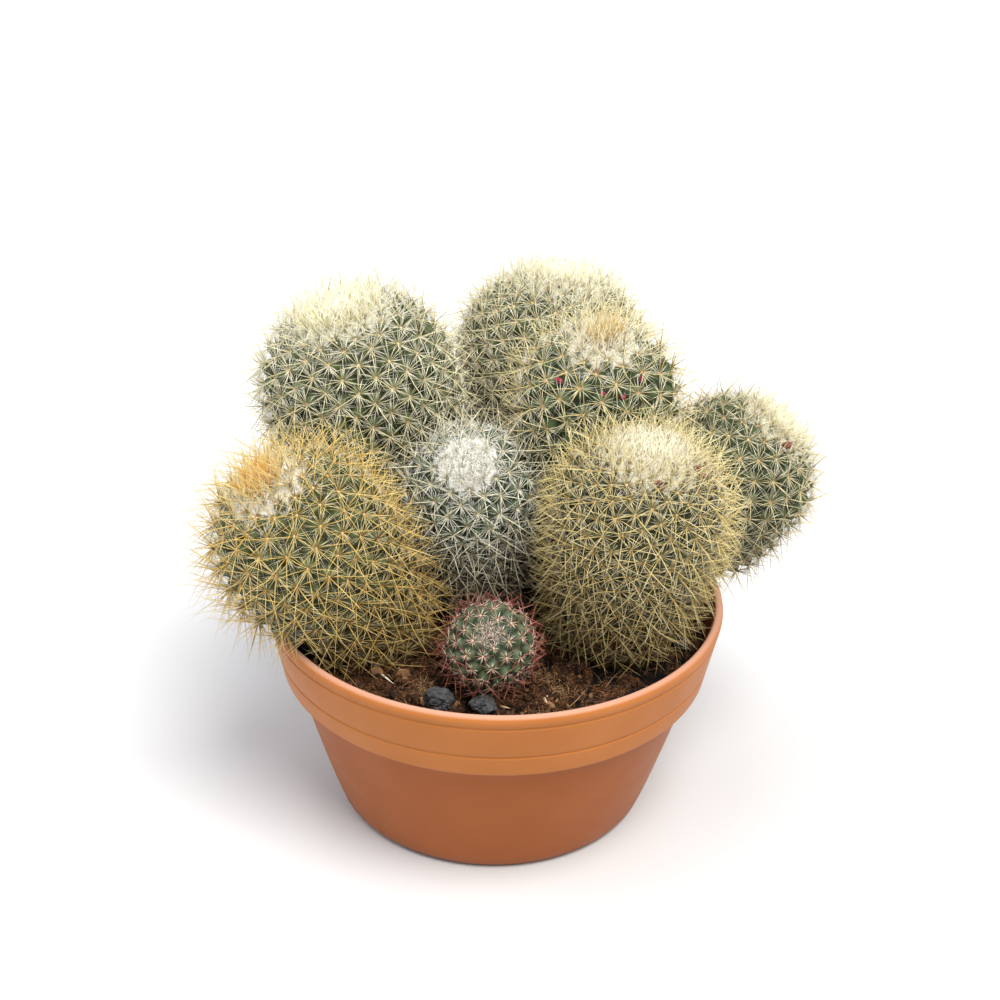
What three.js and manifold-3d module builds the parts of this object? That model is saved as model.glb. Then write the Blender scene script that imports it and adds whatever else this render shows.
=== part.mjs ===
// A clump of eight round cactus heads in a terracotta-coloured bowl.
// Millimetres, +Z up. The origin is the middle of the pot's flat underside, -Y is the front.
import * as THREE from "three";
import { ConvexHull } from "three/addons/math/ConvexHull.js";
import { mergeVertices } from "three/addons/utils/BufferGeometryUtils.js";
import Module from "manifold-3d";

const wasm = await Module();
wasm.setup();

// ---------- driving dimensions ----------

const POT_HEIGHT = 114; // to the top of the lip
const LIP_RADIUS = 115; // a 230 mm bowl
const LIP_INNER_RADIUS = 110.3;
const RIM_BOTTOM = 77; // where the deep rim band starts
const RIM_BOTTOM_RADIUS = 108;
const BODY_TOP_RADIUS = 102.5; // just under the rim band
const BASE_RADIUS = 78.6;
const GROOVE_HEIGHTS = [89, 107.3];
const GROOVE_HALF_WIDTH = 0.9;
const GROOVE_DEPTH = 0.7;
const BODY_SWELL = 0.88; // the body widens as height to this power
const WALL = 4;
const FLOOR = 4;
const FLOOR_CORNER = 3; // bevel between floor and wall
const POT_SIDES = 36;
const DRAIN_HOLES = 4;
const DRAIN_RADIUS = 5;
const DRAIN_CIRCLE = 46; // the holes' centres, so that the middle of the floor is solid

const SOIL_LEVEL = 96; // mean height of the surface
const SOIL_RELIEF = 0.7;
const SOIL_GAP = 0.3; // to the pot and to each stem

const STEM_START = 97; // the heads' own surface starts here
const STEM_DEPTH = 22; // buried end of each stem
const STEM_SIDES = 12;
const RIM_ROOM = { below: POT_HEIGHT + 4, radius: 96, slope: 0.5 }; // what the lip leaves the heads
const HEAD_GAP = 2.9; // kept between two heads pressed together
const CAP_POWER = 2.3; // a superellipse dome, a little fuller than a ball

const PLATFORM = 1.15; // radius of the flat areole on each tubercle
const TIP_RISE = 0.07; // of a tubercle over the smooth surface, as a share of the spacing
const VALLEY_DEPTH = 0.15; // below it, the same way
const PRESSED_DEPTH = 0.05; // where a neighbour flattens the skin
const UNPRESSED = 0.985; // share of the way out from which a spot counts as free

// Needles: tilt of the long and the short ones on the crown and elsewhere in degrees, and their lift
// towards the crown. Where one would touch something, the next of TRIES takes a share of its length and tilt.
const TILT = { crown: { long: 17, short: 42 }, side: { long: 27, short: 64 } };
const LIFT = { crown: 0.05, long: 0.3, short: 0.12 };
const SHORT_SHARE = 0.38; // of a short needle's length in a long one's
const SHORTEST = 4.5;
const TRIES = [[1, 1], [0.85, 0.75], [0.7, 0.5], [0.5, 0.3]];
const LENGTHS = [0.88, 1.12]; // least and most share of the mean length
const TILT_SPREAD = 5; // degrees either way
const CROWN_REACH = 0.5; // of the radius: how far from the middle the crown's needles stand
const CROWN_UPRIGHT = 0.9; // how much these follow the axis rather than the skin
const NEEDLE_GAP = 0.35; // between two needles
// What needles keep to other things: beside and above the lip, over the soil, to their own head's skin and to
// another's as a share of its spacing and a length, and to stones and pods.
const ROOM = { beside: 1.5, above: 1.2, soil: 2, own: [0.04, 0.5], other: [0.08, 1.4], ball: 0.8 };

// Spacing of the tubercles as a share of the head's own: least at the crown's middle, growing out to a reach
// that is a share of the radius, and more behind the lip.
const YOUNG = { least: 0.66, reach: 0.8 };
const LOW_SPACING = 1.25;
const LAST_GAP = 0.45; // from the lowest tubercles to the end of the surface

// foot: where the stem meets the soil; belly: control point of the curved axis; crown: top of the axis.
// radius: at the widest; stem: radius at the soil; spacing: between areoles; hold: how little it yields
// when a neighbour presses; spine: length of the central spines.
const HEADS = [
  { name: "head_front_right", foot: [59, -15], belly: [65, -23, 150], crown: [72, -29, 209],
    radius: 39.5, stem: 25, spacing: 17.7, hold: 2.0, spine: 15, green: 0x4d6350 },
  { name: "head_front_left", foot: [-58, -14], belly: [-87, -31.6, 147], crown: [-109.5, -42, 193],
    radius: 41.5, stem: 32, spacing: 21.3, hold: 1.7, spine: 21, green: 0x66764a },
  { name: "head_small", foot: [-1, -52], belly: [-1, -55, 110], crown: [-2, -77, 135],
    radius: 20, stem: 12, spacing: 12.8, hold: 2.0, spine: 9, green: 0x3c4a38 },
  { name: "head_centre", foot: [-12, 12], belly: [-11.5, 24.4, 150], crown: [-15.3, -4.4, 188],
    radius: 31, stem: 18, spacing: 17.7, hold: 1.3, spine: 19, green: 0x5a6e5c },
  { name: "head_right", foot: [66, 36], belly: [106.8, 44.8, 142], crown: [143.4, 44.6, 189.5],
    radius: 39.3, stem: 18, cap: 1.0, spacing: 18.9, hold: 1.0, spine: 15, green: 0x55695a },
  { name: "head_centre_right", foot: [28, 38], belly: [51.5, 41, 175], crown: [50, 31, 239],
    radius: 38.5, stem: 16, spacing: 20.7, hold: 1.0, spine: 16, green: 0x4f6455 },
  { name: "head_back_left", foot: [-50, 46], belly: [-66.4, 68.5, 174], crown: [-83.2, 63, 240],
    radius: 49, stem: 26, spacing: 23.2, hold: 0.9, spine: 18, green: 0x5d6f55 },
  { name: "head_back_centre", foot: [8, 74], belly: [27, 107, 184], crown: [32, 115, 239],
    radius: 48, stem: 22, spacing: 23.8, hold: 0.8, spine: 14, green: 0x4c6158 },
];

const STONES = [
  { name: "stone_front", at: [-25, -83], radius: 7.6 },
  { name: "stone_middle", at: [-4.5, -86.5], radius: 7.4 },
  { name: "stone_right", at: [92, -25.5], radius: 5.2 },
];
const STONE_FLATNESS = 0.78;
const STONE_CORNERS = [0.84, 1.12]; // least and most distance from the middle, as shares of the radius
const STONE_GAP = 0.4; // over the soil

// Red fruit pods: each stands in the valley nearest to its place.
const PODS = [
  { head: "head_centre_right", at: [35.2, 7.5, 225.4], length: 9 },
  { head: "head_centre_right", at: [46.8, 4.4, 225.7], length: 5.6 },
  { head: "head_centre_right", at: [54.8, 9.2, 230.2], length: 5.6 },
  { head: "head_centre_right", at: [63.2, 4.7, 222.6], length: 5.6 },
  { head: "head_centre_right", at: [70.2, 12.4, 226.7], length: 5.6 },
  { head: "head_back_centre", at: [11.2, 78.2, 231.3], length: 5.6 },
];
const POD_RADIUS = 1.5;
const POD_LIFT = 0.7; // of its foot over the middle of the valley
const POD_GUARDS = [0.3, 0.7, 1]; // where balls that keep needles away sit on a pod, as shares of its length

const GOLDEN_ANGLE = Math.PI * (3 - Math.sqrt(5));
const HEX_SHARE = Math.sqrt(3) / 2; // of a hexagon's area in the square of the spacing of its net
const UP = new THREE.Vector3(0, 0, 1);
const SIDEWAYS = new THREE.Vector3(0, 1, 0);

// ---------- small helpers ----------

const vec = (x, y, z) => new THREE.Vector3(x, y, z);

// Seeded random numbers from 0 to 1, the same in each run.
function randomFrom(seed) {
  let state = seed;
  return () => {
    state = (state + 0x6d2b79f5) | 0;
    let t = Math.imul(state ^ (state >>> 15), 1 | state);
    t = (t + Math.imul(t ^ (t >>> 7), 61 | t)) ^ t;
    return ((t ^ (t >>> 14)) >>> 0) / 4294967296;
  };
}

function meshOf(name, geometry, color, roughness) {
  const material = new THREE.MeshStandardMaterial({ color, roughness, metalness: 0 });
  const mesh = new THREE.Mesh(geometry, material);
  mesh.name = name;
  return mesh;
}

function geometryOf(points, triangles) {
  const geometry = new THREE.BufferGeometry().setFromPoints(points);
  geometry.setIndex(triangles.flat());
  geometry.computeVertexNormals();
  return geometry;
}

function solidOf(geometry) {
  const plain = new THREE.BufferGeometry();
  plain.setAttribute("position", geometry.getAttribute("position"));
  plain.setIndex(geometry.index);
  const merged = mergeVertices(plain, 1e-4);
  const vertProperties = merged.attributes.position.array;
  return new wasm.Manifold(new wasm.Mesh({ numProp: 3, vertProperties, triVerts: merged.index.array }));
}

function geometryFrom(solid) {
  const { vertProperties, triVerts } = solid.getMesh();
  const geometry = new THREE.BufferGeometry();
  geometry.setAttribute("position", new THREE.BufferAttribute(new Float32Array(vertProperties), 3));
  geometry.setIndex(new THREE.BufferAttribute(new Uint32Array(triVerts), 1));
  return geometry;
}

// A profile of [radius, height] points turned about Z.
function turned(profile, sides = POT_SIDES) {
  const points = profile.map(([r, z]) => new THREE.Vector2(r, z));
  return new THREE.LatheGeometry(points, sides).rotateX(Math.PI / 2);
}

function upright(sides, radius, from, to, [x, y]) {
  const post = new THREE.CylinderGeometry(radius, radius, to - from, sides);
  return post.rotateX(Math.PI / 2).translate(x, y, (from + to) / 2);
}

// ---------- pot ----------

const rimRadius = (z) => {
  const slope = (LIP_RADIUS - RIM_BOTTOM_RADIUS) / (LIP_RADIUS - 4 - RIM_BOTTOM);
  return RIM_BOTTOM_RADIUS + slope * (z - RIM_BOTTOM);
};
const bodyRadius = (z) => BASE_RADIUS + (BODY_TOP_RADIUS - BASE_RADIUS) * (z / RIM_BOTTOM) ** BODY_SWELL;

// The wall's inner face as [height, radius], from the floor's corner to the lip.
const FLOOR_EDGE = bodyRadius(FLOOR) - WALL - FLOOR_CORNER;
const INNER_WALL = [
  [FLOOR + FLOOR_CORNER, bodyRadius(FLOOR + FLOOR_CORNER) - WALL],
  [38, bodyRadius(38) - WALL],
  [RIM_BOTTOM - 2.5, BODY_TOP_RADIUS - WALL - 0.5],
  [RIM_BOTTOM + 5, RIM_BOTTOM_RADIUS - WALL],
  [POT_HEIGHT - 1.8, LIP_INNER_RADIUS],
];

function innerRadius(z) {
  const top = INNER_WALL.findIndex(([height]) => height >= z);
  const [z0, r0] = INNER_WALL[Math.max(top - 1, 0)];
  const [z1, r1] = INNER_WALL[Math.max(top, 1)];
  return r0 + ((r1 - r0) * (z - z0)) / (z1 - z0);
}

function pot() {
  const groove = (z) => [
    [rimRadius(z - GROOVE_HALF_WIDTH), z - GROOVE_HALF_WIDTH],
    [rimRadius(z) - GROOVE_DEPTH, z],
    [rimRadius(z + GROOVE_HALF_WIDTH), z + GROOVE_HALF_WIDTH],
  ];
  const outside = [
    [0, 0],
    [BASE_RADIUS - 2, 0],
    [BASE_RADIUS, 1.8],
    [bodyRadius(20), 20],
    [bodyRadius(45), 45],
    [BODY_TOP_RADIUS, RIM_BOTTOM - 2],
    [RIM_BOTTOM_RADIUS - 0.8, RIM_BOTTOM],
    [RIM_BOTTOM_RADIUS + 0.2, RIM_BOTTOM + 1],
    ...GROOVE_HEIGHTS.flatMap(groove),
    [LIP_RADIUS, POT_HEIGHT - 3.4],
    [LIP_RADIUS - 0.7, POT_HEIGHT - 1],
    [LIP_RADIUS - 2.3, POT_HEIGHT],
    [LIP_INNER_RADIUS + 0.9, POT_HEIGHT - 0.3],
  ];
  const inside = INNER_WALL.map(([z, r]) => [r, z]).reverse();
  const floor = [[FLOOR_EDGE, FLOOR], [0, FLOOR]];
  let solid = solidOf(turned([...outside, ...inside, ...floor]));
  for (let i = 0; i < DRAIN_HOLES; i++) {
    const angle = ((i + 0.5) * 2 * Math.PI) / DRAIN_HOLES;
    const centre = [DRAIN_CIRCLE * Math.cos(angle), DRAIN_CIRCLE * Math.sin(angle)];
    solid = solid.subtract(solidOf(upright(16, DRAIN_RADIUS, -1, FLOOR + 1, centre)));
  }
  return meshOf("pot", geometryFrom(solid), 0xbb7844, 0.45);
}

// ---------- heads: form ----------

// One head's axis, radius and surface. Rows run along the axis from crown (0) to soil.
class Head {
  constructor(spec) {
    Object.assign(this, spec);
    this.axis = new THREE.QuadraticBezierCurve3(
      vec(...spec.foot, STEM_START), vec(...spec.belly), vec(...spec.crown));
    this.length = this.axis.getLength();
    this.dome = this.radius * (spec.cap ?? 0.95);
    this.rows = this.makeRows();
    this.balls = this.makeBalls();
  }

  // The dome is a superellipse, and below it the radius narrows to the stem's by a parabola.
  makeRows() {
    const domeRows = 60;
    const sideRows = 90;
    const rows = [];
    for (let i = 0; i <= domeRows; i++) {
      const turn = ((i / domeRows) * Math.PI) / 2;
      const height = Math.cos(turn) ** (2 / CAP_POWER);
      const width = Math.sin(turn) ** (2 / CAP_POWER);
      rows.push({ along: this.length - this.dome * (1 - height), width });
    }
    const domeStart = this.length - this.dome;
    for (let i = 1; i <= sideRows; i++) rows.push({ along: domeStart * (1 - i / sideRows), width: 1 });
    const stemShare = this.stem / this.radius;
    let run = 0;
    rows.forEach((row, i) => {
      const rise = Math.min(row.along / domeStart, 1);
      row.radius = this.radius * row.width * (stemShare + (1 - stemShare) * (1 - (1 - rise) ** 2));
      const at = row.along / this.length;
      row.centre = this.axis.getPointAt(at);
      row.tangent = this.axis.getTangentAt(at);
      row.across = row.tangent.clone().cross(SIDEWAYS).normalize();
      row.beside = row.tangent.clone().cross(row.across);
      const before = rows[i - 1];
      if (before) run += Math.hypot(before.along - row.along, before.radius - row.radius);
      row.run = run;
    });
    return rows;
  }

  // Balls along the axis that touch the surface from inside: their union stands for the head.
  makeBalls() {
    const ring = [0, 1, 2, 3].map((quarter) => (quarter * Math.PI) / 2);
    const shell = this.rows.flatMap((row) => ring.map((angle) => this.onRow(row, angle)));
    return this.rows.filter((row, i) => i % 6 === 0).map((row) => {
      const radius = Math.min(...shell.map((point) => point.distanceTo(row.centre)));
      return { centre: row.centre, radius };
    });
  }

  onRow(row, angle) {
    return row.centre.clone()
      .addScaledVector(row.across, row.radius * Math.cos(angle))
      .addScaledVector(row.beside, row.radius * Math.sin(angle));
  }

  // Row at a distance from the crown, measured over the surface.
  rowAt(run) {
    const next = this.rows.findIndex((row) => row.run >= run);
    const a = this.rows[Math.max(next - 1, 0)];
    const b = this.rows[Math.max(next, 1)];
    const share = Math.min((run - a.run) / (b.run - a.run), 1);
    const mix = (key) => a[key].clone().lerp(b[key], share);
    const radius = a.radius + (b.radius - a.radius) * share;
    const row = { centre: mix("centre"), tangent: mix("tangent"), across: mix("across") };
    const slope = Math.atan2(b.radius - a.radius, a.along - b.along);
    return { ...row, beside: mix("beside"), radius, run, slope };
  }

  // Distance to the head's surface, negative inside.
  distance(point) {
    return Math.min(...this.balls.map((ball) => point.distanceTo(ball.centre) - ball.radius));
  }
}

const heads = HEADS.map((spec) => new Head(spec));

// Whether a point of one head's surface is clear of the soil, the pot's lip and the other heads.
// Two heads pressed together meet where hold times depth is the same in both.
function isClear(head, point) {
  const reach = Math.hypot(point.x, point.y);
  const low = point.z < RIM_ROOM.below;
  const room = low ? RIM_ROOM.radius + RIM_ROOM.slope * (point.z - STEM_START) : Infinity;
  if (reach > room || point.z < STEM_START + 2) return false;
  const own = head.hold * Math.min(head.distance(point), 0);
  return heads.every((other) => {
    if (other === head) return true;
    const gap = (HEAD_GAP * (head.hold + other.hold)) / 4;
    return own <= other.hold * other.distance(point) - gap;
  });
}

// Pulls a surface point towards the axis until it is clear. Returns how far it stayed out, from 0 to 1.
function press(head, centre, point) {
  if (isClear(head, point)) return 1;
  const out = point.clone().sub(centre);
  let low = 0.15;
  let high = 1;
  for (let step = 0; step < 14; step++) {
    const middle = (low + high) / 2;
    if (isClear(head, centre.clone().addScaledVector(out, middle))) low = middle;
    else high = middle;
  }
  point.copy(centre).addScaledVector(out, low);
  return low;
}

// ---------- heads: tubercles ----------

// Spots by the golden angle, denser at the crown. Each stands for an equal share of weighted area.
function spotsOf(head) {
  const spots = [];
  const last = head.rows.at(-1);
  let count = 0.5;
  let area = 0;
  for (let i = 1; i < head.rows.length; i++) {
    const row = head.rows[i];
    const before = head.rows[i - 1];
    const step = row.run - before.run;
    const young = Math.min(YOUNG.least + ((1 - YOUNG.least) * row.run) / (YOUNG.reach * head.radius), 1);
    const low = row.centre.z < POT_HEIGHT - 2 ? LOW_SPACING : 1;
    const spacing = head.spacing * young * low;
    area += (Math.PI * (row.radius + before.radius) * step) / (HEX_SHARE * spacing ** 2);
    while (area >= count && last.run - row.run > LAST_GAP * spacing) {
      spots.push({ row: head.rowAt(row.run), angle: spots.length * GOLDEN_ANGLE, spacing });
      count += 1;
    }
  }
  return spots;
}

// The spots' neighbours: they are carried to a ball that keeps angles, where the convex hull joins each
// to its nearest. The stem's ring and a point below it close the ball.
function neighbours(head, spots) {
  const last = head.rows.at(-1);
  const depths = [];
  let depth = 0;
  head.rows.forEach((row, i) => {
    const before = head.rows[i - 1];
    if (i > 1) depth += ((row.run - before.run) * 2) / (row.radius + before.radius);
    depths.push({ run: row.run, depth: i ? depth : -8 });
  });
  const middle = depth / 2;
  const onBall = (run, angle) => {
    const next = Math.max(depths.findIndex((entry) => entry.run >= run), 1);
    const [a, b] = [depths[next - 1], depths[next]];
    const share = (run - a.run) / (b.run - a.run);
    const tilt = 2 * Math.atan(Math.exp(a.depth + (b.depth - a.depth) * share - middle));
    return vec(Math.sin(tilt) * Math.cos(angle), Math.sin(tilt) * Math.sin(angle), Math.cos(tilt));
  };
  const points = spots.map((spot) => onBall(spot.row.run, spot.angle));
  for (let i = 0; i < STEM_SIDES; i++) points.push(onBall(last.run, (i * 2 * Math.PI) / STEM_SIDES));
  points.push(vec(0, 0, -1));
  const hull = new ConvexHull().setFromPoints(points);
  const index = new Map(points.map((point, i) => [point, i]));
  const under = points.length - 1;
  return hull.faces.map((face) => {
    const edge = face.edge;
    return [edge.tail().point, edge.head().point, edge.next.head().point].map((point) => index.get(point));
  }).filter((face) => !face.includes(under));
}

// The head's skin as points and triangles. Each spot is the tip of a tubercle, and each face of the net
// of spots gets a valley point in its middle. A spot that bears needles has a small flat platform.
function skinOf(head) {
  const spots = spotsOf(head);
  const faces = neighbours(head, spots);
  const isStem = (v) => v >= spots.length;
  const open = faces.map((face) => !face.some(isStem));

  spots.forEach((spot, v) => {
    const { row, angle, spacing } = spot;
    const radial = row.across.clone().multiplyScalar(Math.cos(angle))
      .addScaledVector(row.beside, Math.sin(angle));
    spot.normal = radial.clone().multiplyScalar(Math.cos(row.slope))
      .addScaledVector(row.tangent, Math.sin(row.slope));
    spot.crownward = row.tangent.clone().multiplyScalar(Math.cos(row.slope))
      .addScaledVector(radial, -Math.sin(row.slope));
    spot.surface = row.centre.clone().addScaledVector(radial, row.radius);
    spot.kept = press(head, row.centre, spot.surface);
    spot.point = spot.surface.clone();
    if (spot.kept === 1) spot.point.addScaledVector(spot.normal, TIP_RISE * spacing);
    press(head, row.centre, spot.point);
    const edged = faces.some((face, f) => !open[f] && face.includes(v));
    spot.bears = spot.kept > UNPRESSED && !edged && spot.point.z > POT_HEIGHT - 4;
  });

  const points = spots.map((spot) => spot.point);
  const stem = [];
  for (let i = 0; i < STEM_SIDES; i++) {
    const angle = (i * 2 * Math.PI) / STEM_SIDES;
    const x = head.foot[0] - head.stem * Math.cos(angle);
    const y = head.foot[1] - head.stem * Math.sin(angle);
    stem.push([x, y]);
    points.push(vec(x, y, STEM_START));
  }
  const add = (point) => points.push(point) - 1;

  const valleys = faces.map((face, f) => {
    if (!open[f]) return null;
    const corners = face.map((v) => spots[v]);
    const mean = (key) => corners.reduce((sum, spot) => sum.add(spot[key]), vec(0, 0, 0)).divideScalar(3);
    const centre = corners.reduce((sum, spot) => sum.add(spot.row.centre), vec(0, 0, 0)).divideScalar(3);
    const flat = Math.min(...corners.map((spot) => spot.kept)) < UNPRESSED;
    const normal = mean("normal").normalize();
    const depth = (flat ? PRESSED_DEPTH : VALLEY_DEPTH) * corners[0].spacing;
    const point = mean("surface").addScaledVector(normal, -depth);
    press(head, centre, point);
    return { index: add(point), point, normal, free: corners.every((spot) => spot.bears) };
  });

  // Platform corners, one towards each valley round the spot.
  spots.forEach((spot, v) => {
    if (!spot.bears) return;
    spot.corners = new Map();
    faces.forEach((face, f) => {
      if (!face.includes(v)) return;
      const towards = valleys[f].point.clone().sub(spot.point);
      towards.addScaledVector(spot.normal, -towards.dot(spot.normal)).normalize();
      const point = spot.point.clone().addScaledVector(towards, PLATFORM);
      spot.corners.set(f, { index: add(point), point, towards });
    });
  });

  const triangles = [];
  const sockets = []; // platform triangles, where needles can stand
  const edges = new Map();
  faces.forEach((face, f) => face.forEach((v, k) => edges.set(v + "," + face[(k + 1) % 3], f)));

  // The side of spot u between the valleys on the right and on the left of one of its edges.
  const flank = (u, right, left) => {
    const [a, b] = [valleys[right].index, valleys[left].index];
    const spot = spots[u];
    if (!spot.bears) {
      triangles.push([u, a, b]);
      return;
    }
    const [first, second] = [spot.corners.get(right), spot.corners.get(left)];
    triangles.push([first.index, a, b], [first.index, b, second.index]);
    sockets.push({ spot, first, second, corners: [u, first.index, second.index] });
  };

  faces.forEach((face, f) => {
    if (!open[f]) triangles.push(face);
    face.forEach((u, k) => {
      const w = face[(k + 1) % 3];
      const across = edges.get(w + "," + u);
      if (!open[f]) return;
      if (across === undefined || !open[across]) triangles.push([u, w, valleys[f].index]);
      else flank(u, across, f);
    });
  });

  // The buried stem is a plain prism.
  const top = spots.length;
  const low = SOIL_LEVEL - STEM_DEPTH;
  const bottom = stem.map(([x, y]) => add(vec(x, y, low)));
  const under = add(vec(...head.foot, low));
  for (let i = 0; i < STEM_SIDES; i++) {
    const j = (i + 1) % STEM_SIDES;
    triangles.push([top + i, bottom[i], bottom[j]], [top + i, bottom[j], top + j]);
    triangles.push([bottom[i], under, bottom[j]]);
  }
  return { head, spots, points, triangles, sockets, valleys: valleys.filter(Boolean) };
}

// ---------- heads: needles ----------

// Smallest distance between two needles, less what each is thick there.
function between(a, b) {
  const u = a.tip.clone().sub(a.base);
  const v = b.tip.clone().sub(b.base);
  const w = a.base.clone().sub(b.base);
  const [uu, uv, vv, uw, vw] = [u.dot(u), u.dot(v), v.dot(v), u.dot(w), v.dot(w)];
  const clamp = (x) => Math.min(Math.max(x, 0), 1);
  const det = uu * vv - uv * uv;
  let s = det > 1e-9 ? clamp((uv * vw - vv * uw) / det) : 0;
  const t = clamp((uv * s + vw) / vv);
  s = clamp((uv * t - uw) / uu);
  const gap = a.base.clone().addScaledVector(u, s).distanceTo(b.base.clone().addScaledVector(v, t));
  return gap - PLATFORM * 0.6 * (2 - s - t);
}

function meetsSolid(head, needle, balls) {
  const point = vec(0, 0, 0);
  const tooNear = (other, [share, length]) => other.distance(point) < share * other.spacing + length;
  for (let step = 1; step <= 8; step++) {
    point.lerpVectors(needle.base, needle.tip, step / 8);
    const reach = Math.hypot(point.x, point.y);
    const overLip = reach > LIP_INNER_RADIUS - ROOM.beside && reach < LIP_RADIUS + ROOM.beside;
    if (overLip && point.z < POT_HEIGHT + ROOM.above) return true;
    if (reach < LIP_RADIUS && point.z < SOIL_LEVEL + ROOM.soil) return true;
    if (step > 2 && tooNear(head, ROOM.own)) return true;
    if (heads.some((other) => other !== head && tooNear(other, ROOM.other))) return true;
    if (balls.some((ball) => point.distanceTo(ball.centre) < ball.radius + ROOM.ball)) return true;
  }
  return false;
}

// A long spine on every second side of a platform, and a short low one between.
// Where one would touch something it is bent up and shortened, and left out as a last resort.
function growNeedles(skin, placed, balls) {
  const { head } = skin;
  const random = randomFrom(Math.round(head.radius * 100 + head.foot[0]));
  const counts = new Map();
  for (const socket of skin.sockets) {
    const { spot, first, second } = socket;
    const rank = counts.get(spot) ?? 0;
    counts.set(spot, rank + 1);
    const atCrown = spot.row.run < CROWN_REACH * head.radius;
    const long = rank % 2 === 0;
    const kind = long ? "long" : "short";
    const mean = long ? head.spine : Math.max(SHORT_SHARE * head.spine, SHORTEST);
    const length = mean * THREE.MathUtils.lerp(...LENGTHS, random());
    const tilt = TILT[atCrown ? "crown" : "side"][kind] + TILT_SPREAD * (2 * random() - 1);
    const lift = LIFT[atCrown ? "crown" : kind];
    const middle = spot.normal.clone().addScaledVector(spot.crownward, lift);
    if (atCrown) middle.addScaledVector(spot.row.tangent, CROWN_UPRIGHT);
    middle.normalize();
    const side = first.towards.clone().add(second.towards);
    side.addScaledVector(middle, -side.dot(middle)).normalize();
    const base = spot.point.clone().add(first.point).add(second.point).divideScalar(3);
    for (const [share, bend] of TRIES) {
      const turn = THREE.MathUtils.degToRad(tilt * bend);
      const direction = middle.clone().multiplyScalar(Math.cos(turn)).addScaledVector(side, Math.sin(turn));
      const needle = { base, tip: base.clone().addScaledVector(direction, length * share), spot };
      if (meetsSolid(head, needle, balls)) continue;
      if (placed.some((other) => other.spot !== spot && between(needle, other) < NEEDLE_GAP)) continue;
      placed.push(needle);
      socket.tip = needle.tip;
      break;
    }
  }
}

function headMesh(skin) {
  const { head, points, triangles, sockets } = skin;
  for (const { corners: [a, b, c], tip } of sockets) {
    if (!tip) {
      triangles.push([a, b, c]);
      continue;
    }
    const apex = points.push(tip) - 1;
    triangles.push([a, b, apex], [b, c, apex], [c, a, apex]);
  }
  return meshOf(head.name, geometryOf(points, triangles), head.green, 0.6);
}

// ---------- fruit pods ----------

// The free valley nearest to each pod's place, none of them twice.
function podPlaces(skins) {
  const taken = new Set();
  return PODS.map(({ head, at, length }, i) => {
    const place = vec(...at);
    const open = skins.find((skin) => skin.head.name === head).valleys
      .filter((valley) => valley.free && !taken.has(valley));
    const gap = (valley) => valley.point.distanceTo(place);
    const nearest = open.reduce((best, valley) => (gap(valley) < gap(best) ? valley : best));
    taken.add(nearest);
    const base = nearest.point.clone().addScaledVector(nearest.normal, POD_LIFT);
    return { base, normal: nearest.normal, length, name: "pod_" + (i + 1) };
  });
}

// A slim spindle with a blunt top.
function pod({ base, normal, length, name }) {
  const profile = [[0, 0], [0.5, 0.12], [0.95, 0.4], [1, 0.75], [0.6, 0.96], [0, 1]];
  const geometry = turned(profile.map(([r, z]) => [r * POD_RADIUS, z * length]), 8);
  const plain = geometryFrom(solidOf(geometry));
  plain.applyQuaternion(new THREE.Quaternion().setFromUnitVectors(UP, normal));
  plain.translate(base.x, base.y, base.z);
  return meshOf(name, plain, 0xb3203a, 0.4);
}

// ---------- soil and stones ----------

const soilHeight = (x, y) =>
  SOIL_LEVEL + SOIL_RELIEF * (Math.sin(x / 9) * Math.cos(y / 11) + 0.5 * Math.sin((x + y) / 6));

// A filled disc that follows the pot's inner wall, with a plain hole for each stem.
function soil() {
  const gap = SOIL_GAP + 0.1;
  const edge = innerRadius(SOIL_LEVEL - 2) - gap;
  const top = [18, 36, 54, 72, 88, edge].map((r) => ({ r, top: true }));
  const wall = INNER_WALL.slice(0, -1).map(([z, r]) => ({ z, r: r - gap })).reverse();
  const bottom = { z: FLOOR + SOIL_GAP, r: FLOOR_EDGE - gap };
  const rows = [...top, ...wall, bottom];
  const points = [vec(0, 0, soilHeight(0, 0))];
  for (const row of rows) {
    for (let i = 0; i < POT_SIDES; i++) {
      const angle = (i * 2 * Math.PI) / POT_SIDES;
      const [x, y] = [row.r * Math.sin(angle), -row.r * Math.cos(angle)];
      points.push(vec(x, y, row.top ? soilHeight(x, y) : row.z));
    }
  }
  const under = points.push(vec(0, 0, bottom.z)) - 1;
  const at = (row, i) => 1 + row * POT_SIDES + (i % POT_SIDES);
  const triangles = [];
  for (let i = 0; i < POT_SIDES; i++) {
    triangles.push([0, at(0, i), at(0, i + 1)]);
    triangles.push([under, at(rows.length - 1, i + 1), at(rows.length - 1, i)]);
    for (let row = 0; row < rows.length - 1; row++) {
      triangles.push([at(row, i), at(row + 1, i), at(row + 1, i + 1)]);
      triangles.push([at(row, i), at(row + 1, i + 1), at(row, i + 1)]);
    }
  }
  let solid = solidOf(geometryOf(points, triangles));
  for (const { foot, stem } of HEADS) {
    const radius = stem + SOIL_GAP / Math.cos(Math.PI / STEM_SIDES);
    const low = SOIL_LEVEL - STEM_DEPTH - SOIL_GAP;
    solid = solid.subtract(solidOf(upright(STEM_SIDES, radius, low, SOIL_LEVEL + 8, foot)));
  }
  return meshOf("soil", geometryFrom(solid), 0x3a2a20, 1);
}

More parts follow.
